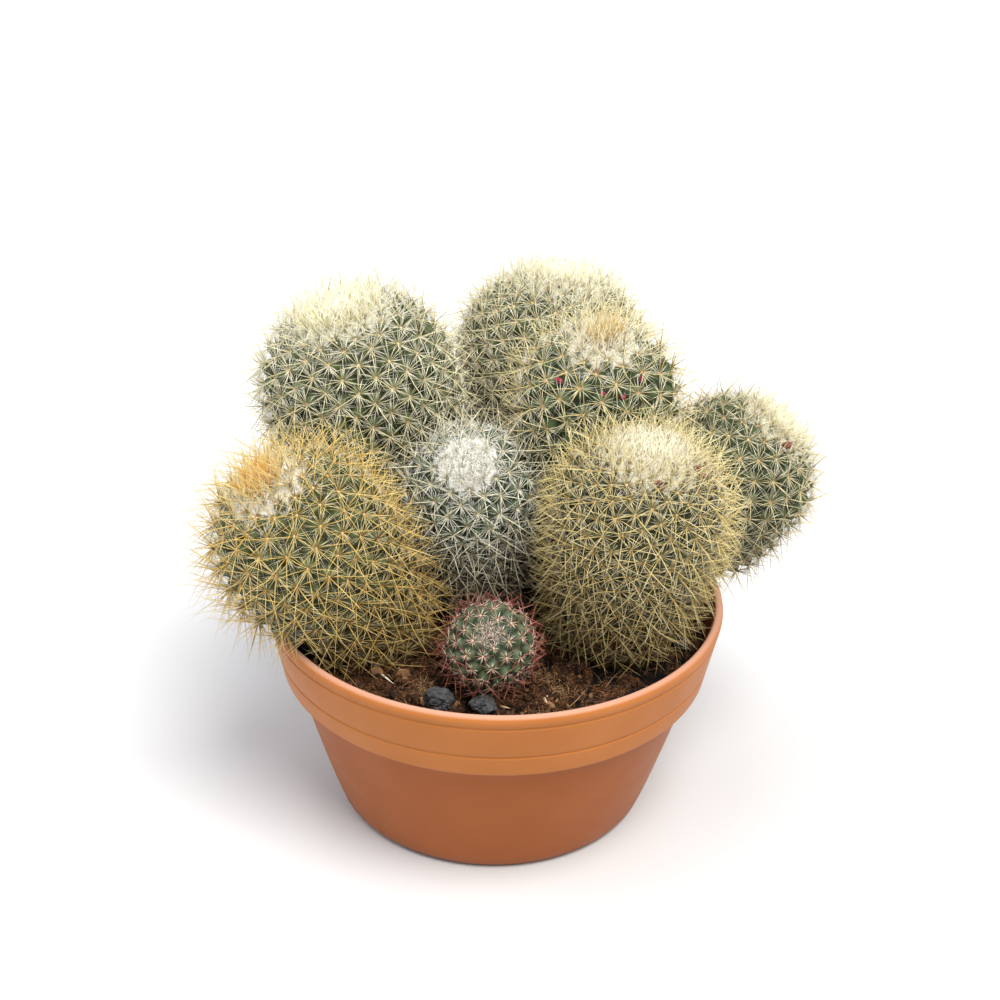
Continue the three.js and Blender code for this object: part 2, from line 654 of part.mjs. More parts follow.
// A rough lump of gravel that touches the soil with its lowest point.
function stone({ name, at: [x, y], radius }) {
  const random = randomFrom(Math.round(x * 31 + y));
  const lump = mergeVertices(new THREE.IcosahedronGeometry(radius, 1).deleteAttribute("normal")
    .deleteAttribute("uv"), 1e-3);
  const place = lump.getAttribute("position");
  const corner = vec(0, 0, 0);
  let lift = -Infinity;
  for (let i = 0; i < place.count; i++) {
    corner.fromBufferAttribute(place, i).multiplyScalar(THREE.MathUtils.lerp(...STONE_CORNERS, random()));
    corner.set(x + corner.x, y + corner.y, STONE_FLATNESS * corner.z);
    place.setXYZ(i, corner.x, corner.y, corner.z);
    lift = Math.max(lift, soilHeight(corner.x, corner.y) + STONE_GAP - corner.z);
  }
  return meshOf(name, lump.translate(0, 0, lift), 0x6a5f5d, 0.95);
}

// ---------- assembly ----------

const plant = new THREE.Group();
plant.add(pot(), soil());

const stones = STONES.map(stone);
const balls = STONES.map(({ at, radius }) => ({ centre: vec(...at, SOIL_LEVEL + radius), radius }));
plant.add(...stones);

const skins = heads.map(skinOf);
const pods = podPlaces(skins);
for (const { base, normal, length } of pods) {
  for (const share of POD_GUARDS) {
    balls.push({ centre: base.clone().addScaledVector(normal, share * length), radius: POD_RADIUS });
  }
}
plant.add(...pods.map(pod));

const placed = [];
for (const skin of skins) {
  growNeedles(skin, placed, balls);
  plant.add(headMesh(skin));
}

export default plant;
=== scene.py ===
"""A clump of eight round cactus heads in a terracotta-coloured bowl.

Shapes are worked out in millimetres as numpy arrays and put into meshes in metres.
"""
import math

import bpy
import numpy as np
from mathutils import Matrix, Vector


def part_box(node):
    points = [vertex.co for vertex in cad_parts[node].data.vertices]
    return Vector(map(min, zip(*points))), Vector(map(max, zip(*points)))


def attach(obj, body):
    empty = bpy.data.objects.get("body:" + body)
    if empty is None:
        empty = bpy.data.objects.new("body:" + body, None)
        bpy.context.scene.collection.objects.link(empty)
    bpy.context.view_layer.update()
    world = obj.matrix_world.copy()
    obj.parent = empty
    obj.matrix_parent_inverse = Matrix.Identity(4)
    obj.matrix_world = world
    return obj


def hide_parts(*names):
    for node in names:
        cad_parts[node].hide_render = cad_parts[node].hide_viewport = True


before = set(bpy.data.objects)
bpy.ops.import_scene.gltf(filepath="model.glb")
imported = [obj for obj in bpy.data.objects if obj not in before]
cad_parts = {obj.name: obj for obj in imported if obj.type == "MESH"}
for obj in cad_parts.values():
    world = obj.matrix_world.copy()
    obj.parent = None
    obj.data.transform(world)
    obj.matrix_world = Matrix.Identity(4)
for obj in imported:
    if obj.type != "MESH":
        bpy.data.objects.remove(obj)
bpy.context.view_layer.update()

MM = 0.001
FINE = 1.0

# ---------- sizes from the CAD frame, in millimetres ----------

pot_top = np.array(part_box("pot")[1]) / MM
soil_top = np.array(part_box("soil")[1]) / MM
LIP_RADIUS, POT_HEIGHT = pot_top[0], pot_top[2]
SOIL_CREST = 0.9  # how far the solid's highest wave rises over its mean height
SOIL_LEVEL = soil_top[2] - SOIL_CREST

LIP_INNER_RADIUS = 110.3
RIM_BOTTOM = 77.0  # where the deep rim band starts
RIM_BOTTOM_RADIUS = 108.0
BODY_TOP_RADIUS = 102.5  # just under the rim band
BODY_SWELL = 0.88  # the body widens as height to this power
BASE_RADIUS = 78.6
GROOVE_HEIGHTS = (89.0, 107.3)
GROOVE_DEPTH = 0.6
GROOVE_HALF_WIDTHS = (1.0, 0.35)  # at the surface and at the groove's floor
WALL = 4.0
FLOOR = 4.0
DRAIN_HOLES = 4
DRAIN_RADIUS = 5.0
DRAIN_CIRCLE = 46.0

SOIL_RELIEF = 0.7  # height of the solid's waves
SOIL_BUMP = 2.7  # height of the clods on them
SOIL_EDGE = 105.5
KNOTS = [(-35.2, -69.1, 97.5), (25.0, -57.8, 97.5)], 20  # tufts of peat fibre, and how many others
POD_RADIUS = 1.5

# straws on the soil: both ends and the radius, palest first
LITTER = [
    ((15.9, -31.5, 112.0), (10.8, -17.9, 118.5), 0.45), ((-55.2, -56.2, 99.0), (-47.3, -65.4, 98.5), 0.8),
    ((-65.7, -49.5, 111.0), (-57.9, -49.8, 108.5), 0.6), ((22.8, -25.5, 97.5), (25.2, -19.0, 102.0), 1.3),
    ((27.7, -70.6, 99.0), (24.3, -75.8, 99.5), 0.7), ((24.3, -75.8, 99.5), (26.8, -82.4, 98.5), 0.9),
    ((4.0, -81.5, 98.0), (8.5, -84.0, 99.0), 0.9), ((-84.0, -40.0, 98.5), (-79.0, -47.5, 99.0), 0.6),
]
# dried flowers by head: distance from the crown and angle
FLOWERS = {"head_front_right": [(22.8, 2.69), (24.2, 1.67)], "head_right": [(22.6, 1.58)]}

STEM_START = 97.0  # the heads' own surface starts here
BURIED = 9.0  # how far the finished skin goes on into the soil
LIP_ROOM = dict(below=POT_HEIGHT + 3, radius=98.0, slope=0.5)  # what the lip leaves the heads
HEAD_GAP = 1.6  # between two heads pressed together
CAP_POWER = 2.3  # a superellipse dome, a little fuller than a ball
CAP_HEIGHT = 0.95  # of the dome, as a share of the radius
GOLDEN_ANGLE = math.pi * (3 - math.sqrt(5))
HEX_SHARE = 0.866  # a hexagonal cell's area, as a share of its spacing squared

# Growth from the crown's middle outwards. Reaches are shares of the crest.
YOUTH_REACH = 0.92
CROWN_PITCH, PITCH_REACH = 0.42, 1.5  # share of the full spacing in the middle, and where it is full
DIP_DEPTH, DIP_RADIUS = 0.045, 0.2  # the hollow in the middle, as shares of the head's radius
# a tubercle's height, and how far below the smooth surface its foot lies, as shares of the pitch
TUBERCLE_RISE, AXIL_DEPTH = 0.36, 0.22
PRESSED_RELIEF = 0.35  # share of the relief that is left where a neighbour presses
# shares of the way out from which the skin, an areole and wool count as free of a neighbour
FREE_SKIN, FREE_SPOT, FREE_WOOL = 0.995, 0.97, 0.99

# foot, belly and crown are the axis; radius and stem its thickness; spacing the distance between areoles;
# hold how little it yields to a neighbour; cap its dome's height as a share of the radius. The rest is the
# look: long and short are the lengths of central and radial spines, count how many of each, spread the tilt
# of the central ones in degrees. skin is dark and light; felt and fleece are the two colours of the pads and
# of the wool; central is a central spine's colour at its root, along it and at its tip, radial the same of a
# radial one. wool is how woolly the head is, and crest the radius of the woolly crown; growth is the least
# share of their length that central spines have, and how far out they have all of it; brush is the tuft in
# the crown's middle: its radius, the length of its spines, how many of them stand on a square millimetre,
# and their colours.
HEADS = [
    dict(name="head_front_right", foot=(59, -15), belly=(65, -23, 150), crown=(72, -29, 209),
         radius=39.5, stem=25, spacing=8.8, hold=2.0, long=17, short=7.4, count=(6, 16), spread=50,
         skin=("24240E", "4C5234"), felt=("B89C6C", "D2BE92"), fleece=("E0DCCA", "F6F2E4"),
         central=("A47C36", "D0B86A", "E6DAA8"), radial=("CCBE92", "DCD0A8", "E8E0C4"),
         wool=1.0, crest=27, growth=(0.35, 32), brush=(19, 4.6, 0.45, "B09460", "DCCCA0", "EEE6C8")),
    dict(name="head_front_left", foot=(-58, -14), belly=(-87, -31.6, 147), crown=(-109.5, -42, 193),
         radius=41.5, stem=32, spacing=11.0, hold=1.7, long=22, short=8.8, count=(6, 20), spread=52,
         skin=("2A2E12", "5F673A"), felt=("BC9E68", "D4BE8C"), fleece=("F0ECE0", "FAF8F2"),
         central=("B07C2C", "D2AE54", "E2CC88"), radial=("CCBA80", "DED0A0", "EAE0C0"),
         wool=1.0, crest=22, growth=(0.8, 22), brush=(9.5, 18.0, 1.2, "C07814", "DC9C2C", "ECC468")),
    dict(name="head_small", foot=(-1, -52), belly=(-1, -55, 110), crown=(-2, -77, 135),
         radius=20, stem=12, spacing=8.0, hold=2.0, long=11, short=3.8, count=(4, 13), spread=62,
         skin=("2A3422", "59694C"), felt=("A88468", "CDB8A0"), fleece=("B8A098", "D2C0B6"),
         central=("5E241C", "7C3A34", "A86458"), radial=("B89078", "D4BCA4", "E2D2C2"),
         wool=0.4, crest=7.5, growth=(0.0, 22), brush=(4.5, 2.8, 0.7, "84403A", "B08078", "CFB0A4")),
    dict(name="head_centre", foot=(-12, 12), belly=(-11.5, 24.4, 150), crown=(-15.3, -4.4, 188),
         radius=31, stem=18, spacing=10.2, hold=1.3, long=18, short=8.0, count=(4, 22), spread=48,
         skin=("26301F", "5C6A50"), felt=("B09A70", "CABE9A"), fleece=("F0F0E8", "FCFCF8"),
         central=("B8A47C", "DCD6B6", "EAE6D0"), radial=("D0CCB4", "E4E2D2", "F0EEE4"),
         wool=1.0, crest=17, growth=(0.3, 18), brush=(12, 3.4, 1.0, "F0EEE2", "F8F6F0", "FAF8F4")),
    dict(name="head_right", foot=(66, 36), belly=(106.8, 44.8, 142), crown=(143.4, 44.6, 189.5),
         radius=39.3, stem=18, cap=1.0, spacing=10.8, hold=1.0, long=15, short=9.2, count=(4, 20), spread=50,
         skin=("222C14", "525E38"), felt=("AE9058", "CDB88A"), fleece=("D4D0B8", "ECE8D4"),
         central=("9C7C44", "CDBA84", "E0D6B0"), radial=("C8BA90", "DAD2B0", "E4DEC8"),
         wool=1.0, crest=23, growth=(0.7, 20), brush=(15, 9.0, 0.9, "CEC07A", "E4DAA2", "ECE6C2")),
    dict(name="head_centre_right", foot=(28, 38), belly=(51.5, 41, 175), crown=(50, 31, 239),
         radius=38.5, stem=16, spacing=12.0, hold=1.0, long=20, short=9.6, count=(5, 20), spread=50,
         skin=("233016", "52603A"), felt=("B49668", "D0BC92"), fleece=("DEDAC8", "F4F0E2"),
         central=("B08A48", "DCC684", "ECE2B8"), radial=("DAD0A4", "E8E2C4", "F2EEDC"),
         wool=1.0, crest=21, growth=(0.85, 14), brush=(7.0, 22.0, 1.2, "B07A20", "CCA04C", "DCC888")),
    dict(name="head_back_left", foot=(-50, 46), belly=(-66.4, 68.5, 174), crown=(-83.2, 63, 240),
         radius=49, stem=26, spacing=11.6, hold=0.9, long=18, short=9.6, count=(5, 22), spread=50,
         skin=("283014", "5C683E"), felt=("B89E70", "D2C298"), fleece=("DEDAC2", "F4F2E0"),
         central=("AE945A", "DED2A0", "ECE6C6"), radial=("DCD2AC", "E8E4CC", "F2EEE0"),
         wool=1.0, crest=31, growth=(0.55, 26), brush=(22, 10.0, 0.8, "E2D67E", "F0E8A0", "F6F0C8")),
    dict(name="head_back_centre", foot=(8, 74), belly=(27, 107, 184), crown=(32, 115, 239),
         radius=48, stem=22, spacing=10.8, hold=0.8, long=16, short=9.6, count=(6, 24), spread=48,
         skin=("2A3218", "626C44"), felt=("BCA272", "D8C89E"), fleece=("DCD8C2", "F2F0DE"),
         central=("A88E58", "DACE9A", "EAE4C0"), radial=("DACEA4", "E8E0C4", "F0ECDA"),
         wool=1.0, crest=28, growth=(0.6, 24), brush=(13, 10.0, 0.9, "D2C676", "E0D494", "E6DEB6")),
]


# ---------- meshes ----------

def shape(name, points, faces, attributes=None, smooth=True):
    """An object whose mesh has points in millimetres and a list of arrays of faces."""
    mesh = bpy.data.meshes.new(name)
    mesh.vertices.add(len(points))
    mesh.vertices.foreach_set("co", (points * MM).astype(np.float32).ravel())
    corners = np.concatenate([part.ravel() for part in faces])
    sizes = np.concatenate([np.full(len(part), part.shape[1]) for part in faces])
    mesh.loops.add(len(corners))
    mesh.loops.foreach_set("vertex_index", corners.astype(np.int32))
    mesh.polygons.add(len(sizes))
    mesh.polygons.foreach_set("loop_start", (np.cumsum(sizes) - sizes).astype(np.int32))
    mesh.polygons.foreach_set("use_smooth", np.full(len(sizes), smooth))
    for key, values in (attributes or {}).items():
        mesh.attributes.new(key, "FLOAT", "POINT").data.foreach_set("value", values.astype(np.float32))
    mesh.update(calc_edges=True)
    made = bpy.data.objects.new(name, mesh)
    bpy.context.scene.collection.objects.link(made)
    return made


def piece(name, points, faces, finish, nodes=(), attributes=None, smooth=True):
    """A shape with a material that rides on the root and stands for the given CAD nodes."""
    made = shape(name, points, faces, attributes, smooth)
    made.data.materials.append(finish)
    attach(made, "root")
    if nodes:
        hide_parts(*nodes)
    return made


def closed_faces(rows, columns):
    """Faces of a grid that wraps round its columns, between a first and a last single point. They face out
    where the rows go up and the columns anticlockwise."""
    row, column = np.meshgrid(np.arange(rows - 1), np.arange(columns), indexing="ij")
    after = (column + 1) % columns
    at = lambda r, c: 1 + r * columns + c
    quads = np.stack([at(row, column), at(row, after), at(row + 1, after), at(row + 1, column)], -1)
    column, after = column[0], after[0]
    last = np.full(columns, 1 + rows * columns)
    first_fan = np.stack([0 * column, at(0, after), at(0, column)], -1)
    last_fan = np.stack([last, at(rows - 1, column), at(rows - 1, after)], -1)
    return [quads.reshape(-1, 4), np.vstack([first_fan, last_fan])]


def repeated(faces, count, corners):
    """The faces of count copies of a shape that has that many corners."""
    return (faces[None] + (np.arange(count) * corners)[:, None, None]).reshape(-1, faces.shape[1])


def unit(vectors):
    """Each vector at length one."""
    return vectors / np.maximum(np.linalg.norm(vectors, axis=-1, keepdims=True), 1e-9)


def turned(profile, columns):
    """A closed surface of revolution: each (radius, height) of the profile turned about Z. The profile
    starts and ends on the axis and keeps the solid on its left."""
    angle = np.arange(columns) * 2 * np.pi / columns
    radius, height = profile[1:-1, :1], profile[1:-1, 1:]
    points = np.stack([radius * np.cos(angle), radius * np.sin(angle), height + 0 * angle], -1)
    ends = [[[0, 0, z]] for z in (profile[0, 1], profile[-1, 1])]
    points = np.vstack([ends[0], points.reshape(-1, 3), ends[1]])
    return points, closed_faces(len(profile) - 2, columns)


def rounded(corners, steps=6):
    """A polyline of (radius, height, bend) with each corner replaced by a quadratic curve of that bend."""
    out = []
    for i, (r, z, bend) in enumerate(corners):
        here = np.array([r, z])
        if bend == 0 or i in (0, len(corners) - 1):
            out.append(here[None])
            continue
        sides = []
        for other in (corners[i - 1], corners[i + 1]):
            gap = np.array(other[:2]) - here
            reach = np.linalg.norm(gap)
            sides.append(here + gap / reach * min(bend, 0.45 * reach))
        t = np.linspace(0, 1, steps)[:, None]
        out.append((1 - t) ** 2 * sides[0] + 2 * t * (1 - t) * here + t ** 2 * sides[1])
    return np.vstack(out)


def spikes(base, direction, length, radius, bend, stations, sides=3):
    """Tapered needles with a pointed tip. A point at share t of a needle lies at
    base + length * (direction * t + bend * t^2), and its section is a small polygon whose radius falls as
    (1 - t)^0.7. Returns the points, their faces, each point's share t and how many points a needle has."""
    count = len(base)
    t = np.array(stations)
    helper = np.where(np.abs(direction[:, 2:]) < 0.9, [[0.0, 0.0, 1.0]], [[1.0, 0.0, 0.0]])
    first = unit(np.cross(direction, helper))
    second = np.cross(direction, first)
    turn = np.arange(sides) * 2 * np.pi / sides
    middle = (base[:, None] + direction[:, None] * (length[:, None] * t)[..., None]
              + bend[:, None] * (length[:, None] * t ** 2)[..., None])
    wide = radius[:, None] * (1 - t) ** 0.7
    ring = first[:, None] * np.cos(turn)[:, None] + second[:, None] * np.sin(turn)[:, None]
    rings = middle[:, :, None] + ring[:, None] * wide[..., None, None]
    tip = base + direction * length[:, None] + bend * length[:, None]
    points = np.concatenate([rings.reshape(count, -1, 3), tip[:, None]], 1)
    each = points.shape[1]
    k = np.arange(sides)
    after = (k + 1) % sides
    faces = []
    for s in range(len(t) - 1):
        low, high = s * sides, (s + 1) * sides
        faces.append(np.stack([low + k, low + after, high + after], -1))
        faces.append(np.stack([low + k, high + after, high + k], -1))
    last = (len(t) - 1) * sides
    faces.append(np.stack([last + k, last + after, np.full(sides, each - 1)], -1))
    faces.append(np.array([[0, i + 1, i] for i in range(1, sides - 1)]))
    along = np.append(np.repeat(t, sides), 1.0)
    return points.reshape(-1, 3), [repeated(np.vstack(faces), count, each)], np.tile(along, count), each


# ---------- the heads' form ----------

class Head:
    """A curved axis with rows of radius from crown to soil, as the CAD solid has them: a superellipse dome,
    then a parabola down to the stem. A place on it is a run, the distance from the crown along the surface,
    and an angle round the axis."""

    AXIS_STEPS, DOME_ROWS, STEM_ROWS = 400, 60, 90
    BALL_ROWS = 6  # from one ball on the axis to the next

    def __init__(self, look):
        self.__dict__.update(look)
        self.seed = int(self.radius * 100 + self.foot[0])
        t = np.linspace(0, 1, self.AXIS_STEPS)[:, None]
        a, b, c = (np.array(p, float) for p in ((*self.foot, STEM_START), self.belly, self.crown))
        line = (1 - t) ** 2 * a + 2 * t * (1 - t) * b + t ** 2 * c
        slant = unit(2 * (1 - t) * (b - a) + 2 * t * (c - b))
        length = np.append(0, np.cumsum(np.linalg.norm(np.diff(line, axis=0), axis=1)))
        dome = self.radius * getattr(self, "cap", CAP_HEIGHT)
        turn = np.linspace(0, np.pi / 2, self.DOME_ROWS + 1)
        height, width = np.cos(turn) ** (2 / CAP_POWER), np.sin(turn) ** (2 / CAP_POWER)
        start = length[-1] - dome
        down = 1 - np.arange(1, self.STEM_ROWS + 1) / self.STEM_ROWS
        along = np.append(length[-1] - dome * (1 - height), start * down)
        width = np.append(width, np.ones(self.STEM_ROWS))
        share = self.stem / self.radius
        rise = np.minimum(along / start, 1)
        self.along = along
        self.thick = self.radius * width * (share + (1 - share) * (1 - (1 - rise) ** 2))
        self.centre = np.stack([np.interp(along, length, line[:, k]) for k in range(3)], -1)
        self.tangent = unit(np.stack([np.interp(along, length, slant[:, k]) for k in range(3)], -1))
        step = np.hypot(np.diff(along), np.diff(self.thick))
        self.run = np.append(0, np.cumsum(step))
        self.make_balls()

    def make_balls(self):
        """Balls on the axis that touch the surface from inside. Their union stands for the head."""
        rows = len(self.run)
        shell = np.concatenate([self.surface(self.run, np.full(rows, q * np.pi / 2))[0] for q in range(4)])
        self.balls = self.centre[::self.BALL_ROWS]
        gaps = np.linalg.norm(shell[None] - self.balls[:, None], axis=-1)
        self.ball_radii = gaps.min(axis=1)

    def surface(self, run, angle):
        """Point, outward normal, crownward direction and axis point at each run and angle."""
        look = lambda values: np.interp(run, self.run, values)
        centre = np.stack([look(self.centre[:, k]) for k in range(3)], -1)
        tangent = unit(np.stack([look(self.tangent[:, k]) for k in range(3)], -1))
        across = unit(np.cross(tangent, [0.0, 1.0, 0.0]))
        beside = np.cross(tangent, across)
        radial = across * np.cos(angle)[:, None] + beside * np.sin(angle)[:, None]
        slope = np.arctan2(np.gradient(self.thick, self.run), -np.gradient(self.along, self.run))
        slope = look(slope)[:, None]
        normal = radial * np.cos(slope) + tangent * np.sin(slope)
        crownward = tangent * np.cos(slope) - radial * np.sin(slope)
        return centre + radial * look(self.thick)[:, None], normal, crownward, centre

    def youth(self, run):
        """How young the plant is there, from 1 at the crown's middle to 0 just outside the crest."""
        return np.exp(-(run / (YOUTH_REACH * self.crest)) ** 3)

    def grown(self, run):
        """Share of their full length that central spines have, rising from the crown's middle."""
        least, reach = self.growth
        t = np.minimum(run / reach, 1)
        return least + (1 - least) * t * t * (3 - 2 * t)

    def pitch(self, run):
        """Distance between areoles: closer on the crown."""
        grown = run / (PITCH_REACH * self.crest)
        return self.spacing * np.minimum(CROWN_PITCH + (1 - CROWN_PITCH) * grown, 1)

    def dip(self, run):
        """Depth of the shallow hollow in the crown's middle."""
        return DIP_DEPTH * self.radius * np.exp(-(run / (DIP_RADIUS * self.radius)) ** 2)

    def distance(self, points):
        """Distance to the head's surface, negative inside."""
        best = np.full(len(points), np.inf)
        for ball, radius in zip(self.balls, self.ball_radii):
            best = np.minimum(best, np.linalg.norm(points - ball, axis=1) - radius)
        return best


heads = [Head(look) for look in HEADS]


def is_clear(head, points):
    """Where a head's points are clear of the pot's lip and the other heads. Two heads meet where hold times
    depth is equal, as in the CAD solids, with a smaller gap than these keep."""
    reach = np.hypot(points[:, 0], points[:, 1])
    room = LIP_ROOM["radius"] + LIP_ROOM["slope"] * (points[:, 2] - STEM_START)
    clear = (reach <= room) | (points[:, 2] >= LIP_ROOM["below"])
    own = head.hold * np.minimum(head.distance(points), 0)
    for other in heads:
        if other is not head:
            gap = HEAD_GAP * (head.hold + other.hold) / 4
            clear &= own <= other.hold * other.distance(points) - gap
    return clear


def press(head, centre, points):
    """Pulls points towards the axis until they are clear, by halving steps. Returns them and the share of
    the way out that each kept."""
    least, halvings = 0.1, 11
    kept = np.ones(len(points))
    tight = np.flatnonzero(~is_clear(head, points))
    low, high = np.full(len(tight), least), np.ones(len(tight))
    out = points[tight] - centre[tight]
    for _ in range(halvings):
        middle = (low + high) / 2
        good = is_clear(head, centre[tight] + out * middle[:, None])
        low, high = np.where(good, middle, low), np.where(good, high, middle)
    pressed = points.copy()
    pressed[tight] = centre[tight] + out * low[:, None]
    kept[tight] = low
    return pressed, kept


def areoles(head):
    """Run and angle of spots by the golden angle, closer together near the crown: each has an equal share of
    the area, weighted by one over the pitch squared."""
    steps = 1200
    run = np.linspace(0, head.run[-1], steps)
    thick = np.interp(run, head.run, head.thick)
    density = 2 * np.pi * thick / (HEX_SHARE * head.pitch(run) ** 2)
    total = np.append(0, np.cumsum((density[1:] + density[:-1]) / 2 * np.diff(run)))
    index = np.arange(int(total[-1]))
    return np.interp(index + 0.5, total, run), index * GOLDEN_ANGLE


# ---------- heads: skin, spines, pads and wool ----------

def skin_grid(head):
    """Run and angle of each point of the skin, from a crown point to one under the soil."""
    row_step, column_step = 1.15, 1.2
    rows = int(head.run[-1] / row_step * FINE)
    columns = int(2 * np.pi * head.radius / column_step * FINE)
    run = np.linspace(0, head.run[-1], rows + 1)[1:]
    angle = np.arange(columns) * 2 * np.pi / columns
    runs, angles = np.meshgrid(run, angle, indexing="ij")
    ends = [0.0], [head.run[-1]]
    return np.concatenate([ends[0], runs.ravel(), ends[1]]), np.pad(angles.ravel(), 1), rows, columns


def nearest_two(points, spots):
    """Distances from each point to its nearest two spots, and the nearest one's index. It takes some
    thousand points at a time, to spare memory."""
    batch = 4000
    distances = np.empty((len(points), 2))
    index = np.empty(len(points), int)
    for start in range(0, len(points), batch):
        now = slice(start, start + batch)
        square = (points[now] ** 2).sum(1)[:, None] + (spots ** 2).sum(1) - 2 * points[now] @ spots.T
        two = np.argpartition(square, 1, axis=1)[:, :2]
        values = np.sqrt(np.maximum(np.take_along_axis(square, two, 1), 0))
        order = np.argsort(values, axis=1)
        distances[now] = np.take_along_axis(values, order, 1)
        index[now] = np.take_along_axis(two, order, 1)[:, 0]
    return distances[:, 0], distances[:, 1], index


def tubercle(first, second):
    """Height of a tubercle from 1 at its tip to 0 in the axil: 1 - (2a / (a + b))^1.7, where a and b are the
    distances to the nearest two areoles."""
    return 1 - (2 * first / (first + second + 1e-6)) ** 1.7


def relief(head, run, height):
    """How far the skin stands out of the smooth surface: tubercles, valleys between, and the hollow."""
    return head.pitch(run) * (TUBERCLE_RISE * height - AXIL_DEPTH) - head.dip(run)


def plumpness(head, count):
    """Each tubercle's own share of the usual height."""
    spread = 0.14
    return 1 + spread * np.random.default_rng(head.seed).standard_normal(count)


def woolliness(head, run, points, height):
    """How thickly wool covers the skin, from 0 to 1: all over the crown's middle, further out only between
    the tubercles, and beyond the crest in patches low in the axils, fewer and fewer."""
    fullness, bare_tips = 2.3, 0.9
    valley_height, valley_fade = 0.45, 0.4
    patch_size, patch_mean, patch_range = 0.55 * head.spacing, 0.4, 1.7
    near_crown, reach, everywhere = 0.75, 1.1 * head.radius, 0.05
    crown = np.clip(fullness * head.youth(run) - bare_tips * height, 0, 1)
    valley = np.clip((valley_height - height) / valley_fade, 0, 1)
    patch = np.clip(patch_mean + patch_range * lattice_noise(points, patch_size, head.seed), 0, 1)
    axil = valley * patch * (near_crown * np.exp(-(run / reach) ** 2) + everywhere)
    return head.wool * np.maximum(crown, axil)


def grow_skin(head):
    """The body: the smooth surface pressed clear of its neighbours, then raised by tubercles. Its last rows
    turn down into the soil."""
    last_rows = 0.03
    spots = head.surface(*areoles(head))[0]
    runs, angles, rows, columns = skin_grid(head)
    points, normal, _, centre = head.surface(runs, angles)
    first, second, near = nearest_two(points, spots)
    height = tubercle(first, second)
    woolly = woolliness(head, runs, points, height)
    points, kept = press(head, centre, points)
    plump = plumpness(head, len(spots))[near]
    free = np.where(kept > FREE_SKIN, 1.0, PRESSED_RELIEF)
    points = points + normal * (relief(head, runs, height * plump) * free)[:, None]
    age = runs / head.run[-1]
    points[:, 2] -= BURIED * np.clip((age - (1 - last_rows)) / last_rows, 0, 1)
    points[-1] = points[-1 - columns:-1].mean(axis=0)
    faces = [part[:, ::-1] for part in closed_faces(rows, columns)]
    return points, faces, {"height": height, "age": age, "wool": woolly}


def bear_spots(head):
    """The areoles that bear spines: where they sit, a little below their tubercle's tip, which way they face
    and crownward lies, and how far they are from the crown."""
    sunk, over_soil = 0.02 * head.spacing, 2
    run, angle = areoles(head)
    base, normal, up, centre = head.surface(run, angle)
    kept = press(head, centre, base)[1]
    base = base + normal * (relief(head, run, plumpness(head, len(run))) - sunk)[:, None]
    free = (kept > FREE_SPOT) & (base[:, 2] > SOIL_LEVEL + over_soil)
    return [values[free] for values in (base, normal, up, run)]


def spray(head, random, base, normal, up, run, count, tilt, length, radius, droop):
    """Spines round each areole: count of them evenly round, tilted from the normal, on young areoles drawn
    together and upright. length is each areole's own."""
    turn_spread, tilt_spread, length_spread, thickness_spread, bend_spread = 0.16, 6, 0.15, 0.18, 0.07
    shortest, thinnest = 0.4, 0.05  # a share of the length, and millimetres
    crownward, young_upright, root_ring = 0.14, 0.55, 0.5
    many = len(base)
    turn = (np.arange(count) / count)[None] * 2 * np.pi + random.uniform(0, 2 * np.pi, (many, 1))
    turn = turn + random.normal(0, turn_spread, (many, count))
    lean = np.radians(tilt + random.normal(0, tilt_spread, (many, count)))
    lean = lean * (1 - young_upright * head.youth(run))[:, None]
    sideways = np.cross(normal, up)
    around = up[:, None] * np.cos(turn)[..., None] + sideways[:, None] * np.sin(turn)[..., None]
    axis = unit(normal + crownward * up)
    direction = axis[:, None] * np.cos(lean)[..., None] + around * np.sin(lean)[..., None]
    direction = unit(direction.reshape(-1, 3))
    own = np.maximum(1 + length_spread * random.standard_normal((many, count)), shortest)
    size = (length[:, None] * own).ravel()
    start = np.repeat(base, count, axis=0) + around.reshape(-1, 3) * root_ring
    bend = random.normal(0, bend_spread, (len(start), 3)) + [0, 0, -droop]
    thick = np.maximum(radius * (1 + thickness_spread * random.standard_normal(len(start))), thinnest)
    return start, direction, size, thick, bend


def outside(head, start, direction, length, bend):
    """Where needles are clear of every other head, the lip and the soil, halfway along and at their tip."""
    gap, inside_lip, over_soil = 0.5, 2, 1
    good = np.ones(len(start), bool)
    for share in (0.5, 1.0):
        spot = start + direction * (length * share)[:, None] + bend * (length * share ** 2)[:, None]
        for other in heads:
            if other is not head:
                good &= other.distance(spot) > gap
        reach, height = np.hypot(spot[:, 0], spot[:, 1]), spot[:, 2]
        over_lip = (reach > LIP_INNER_RADIUS - inside_lip) & (reach < LIP_RADIUS + gap)
        good &= ~(over_lip & (height < POT_HEIGHT + gap))
        good &= ~((reach < LIP_RADIUS) & (height < SOIL_LEVEL + over_soil))
    return good


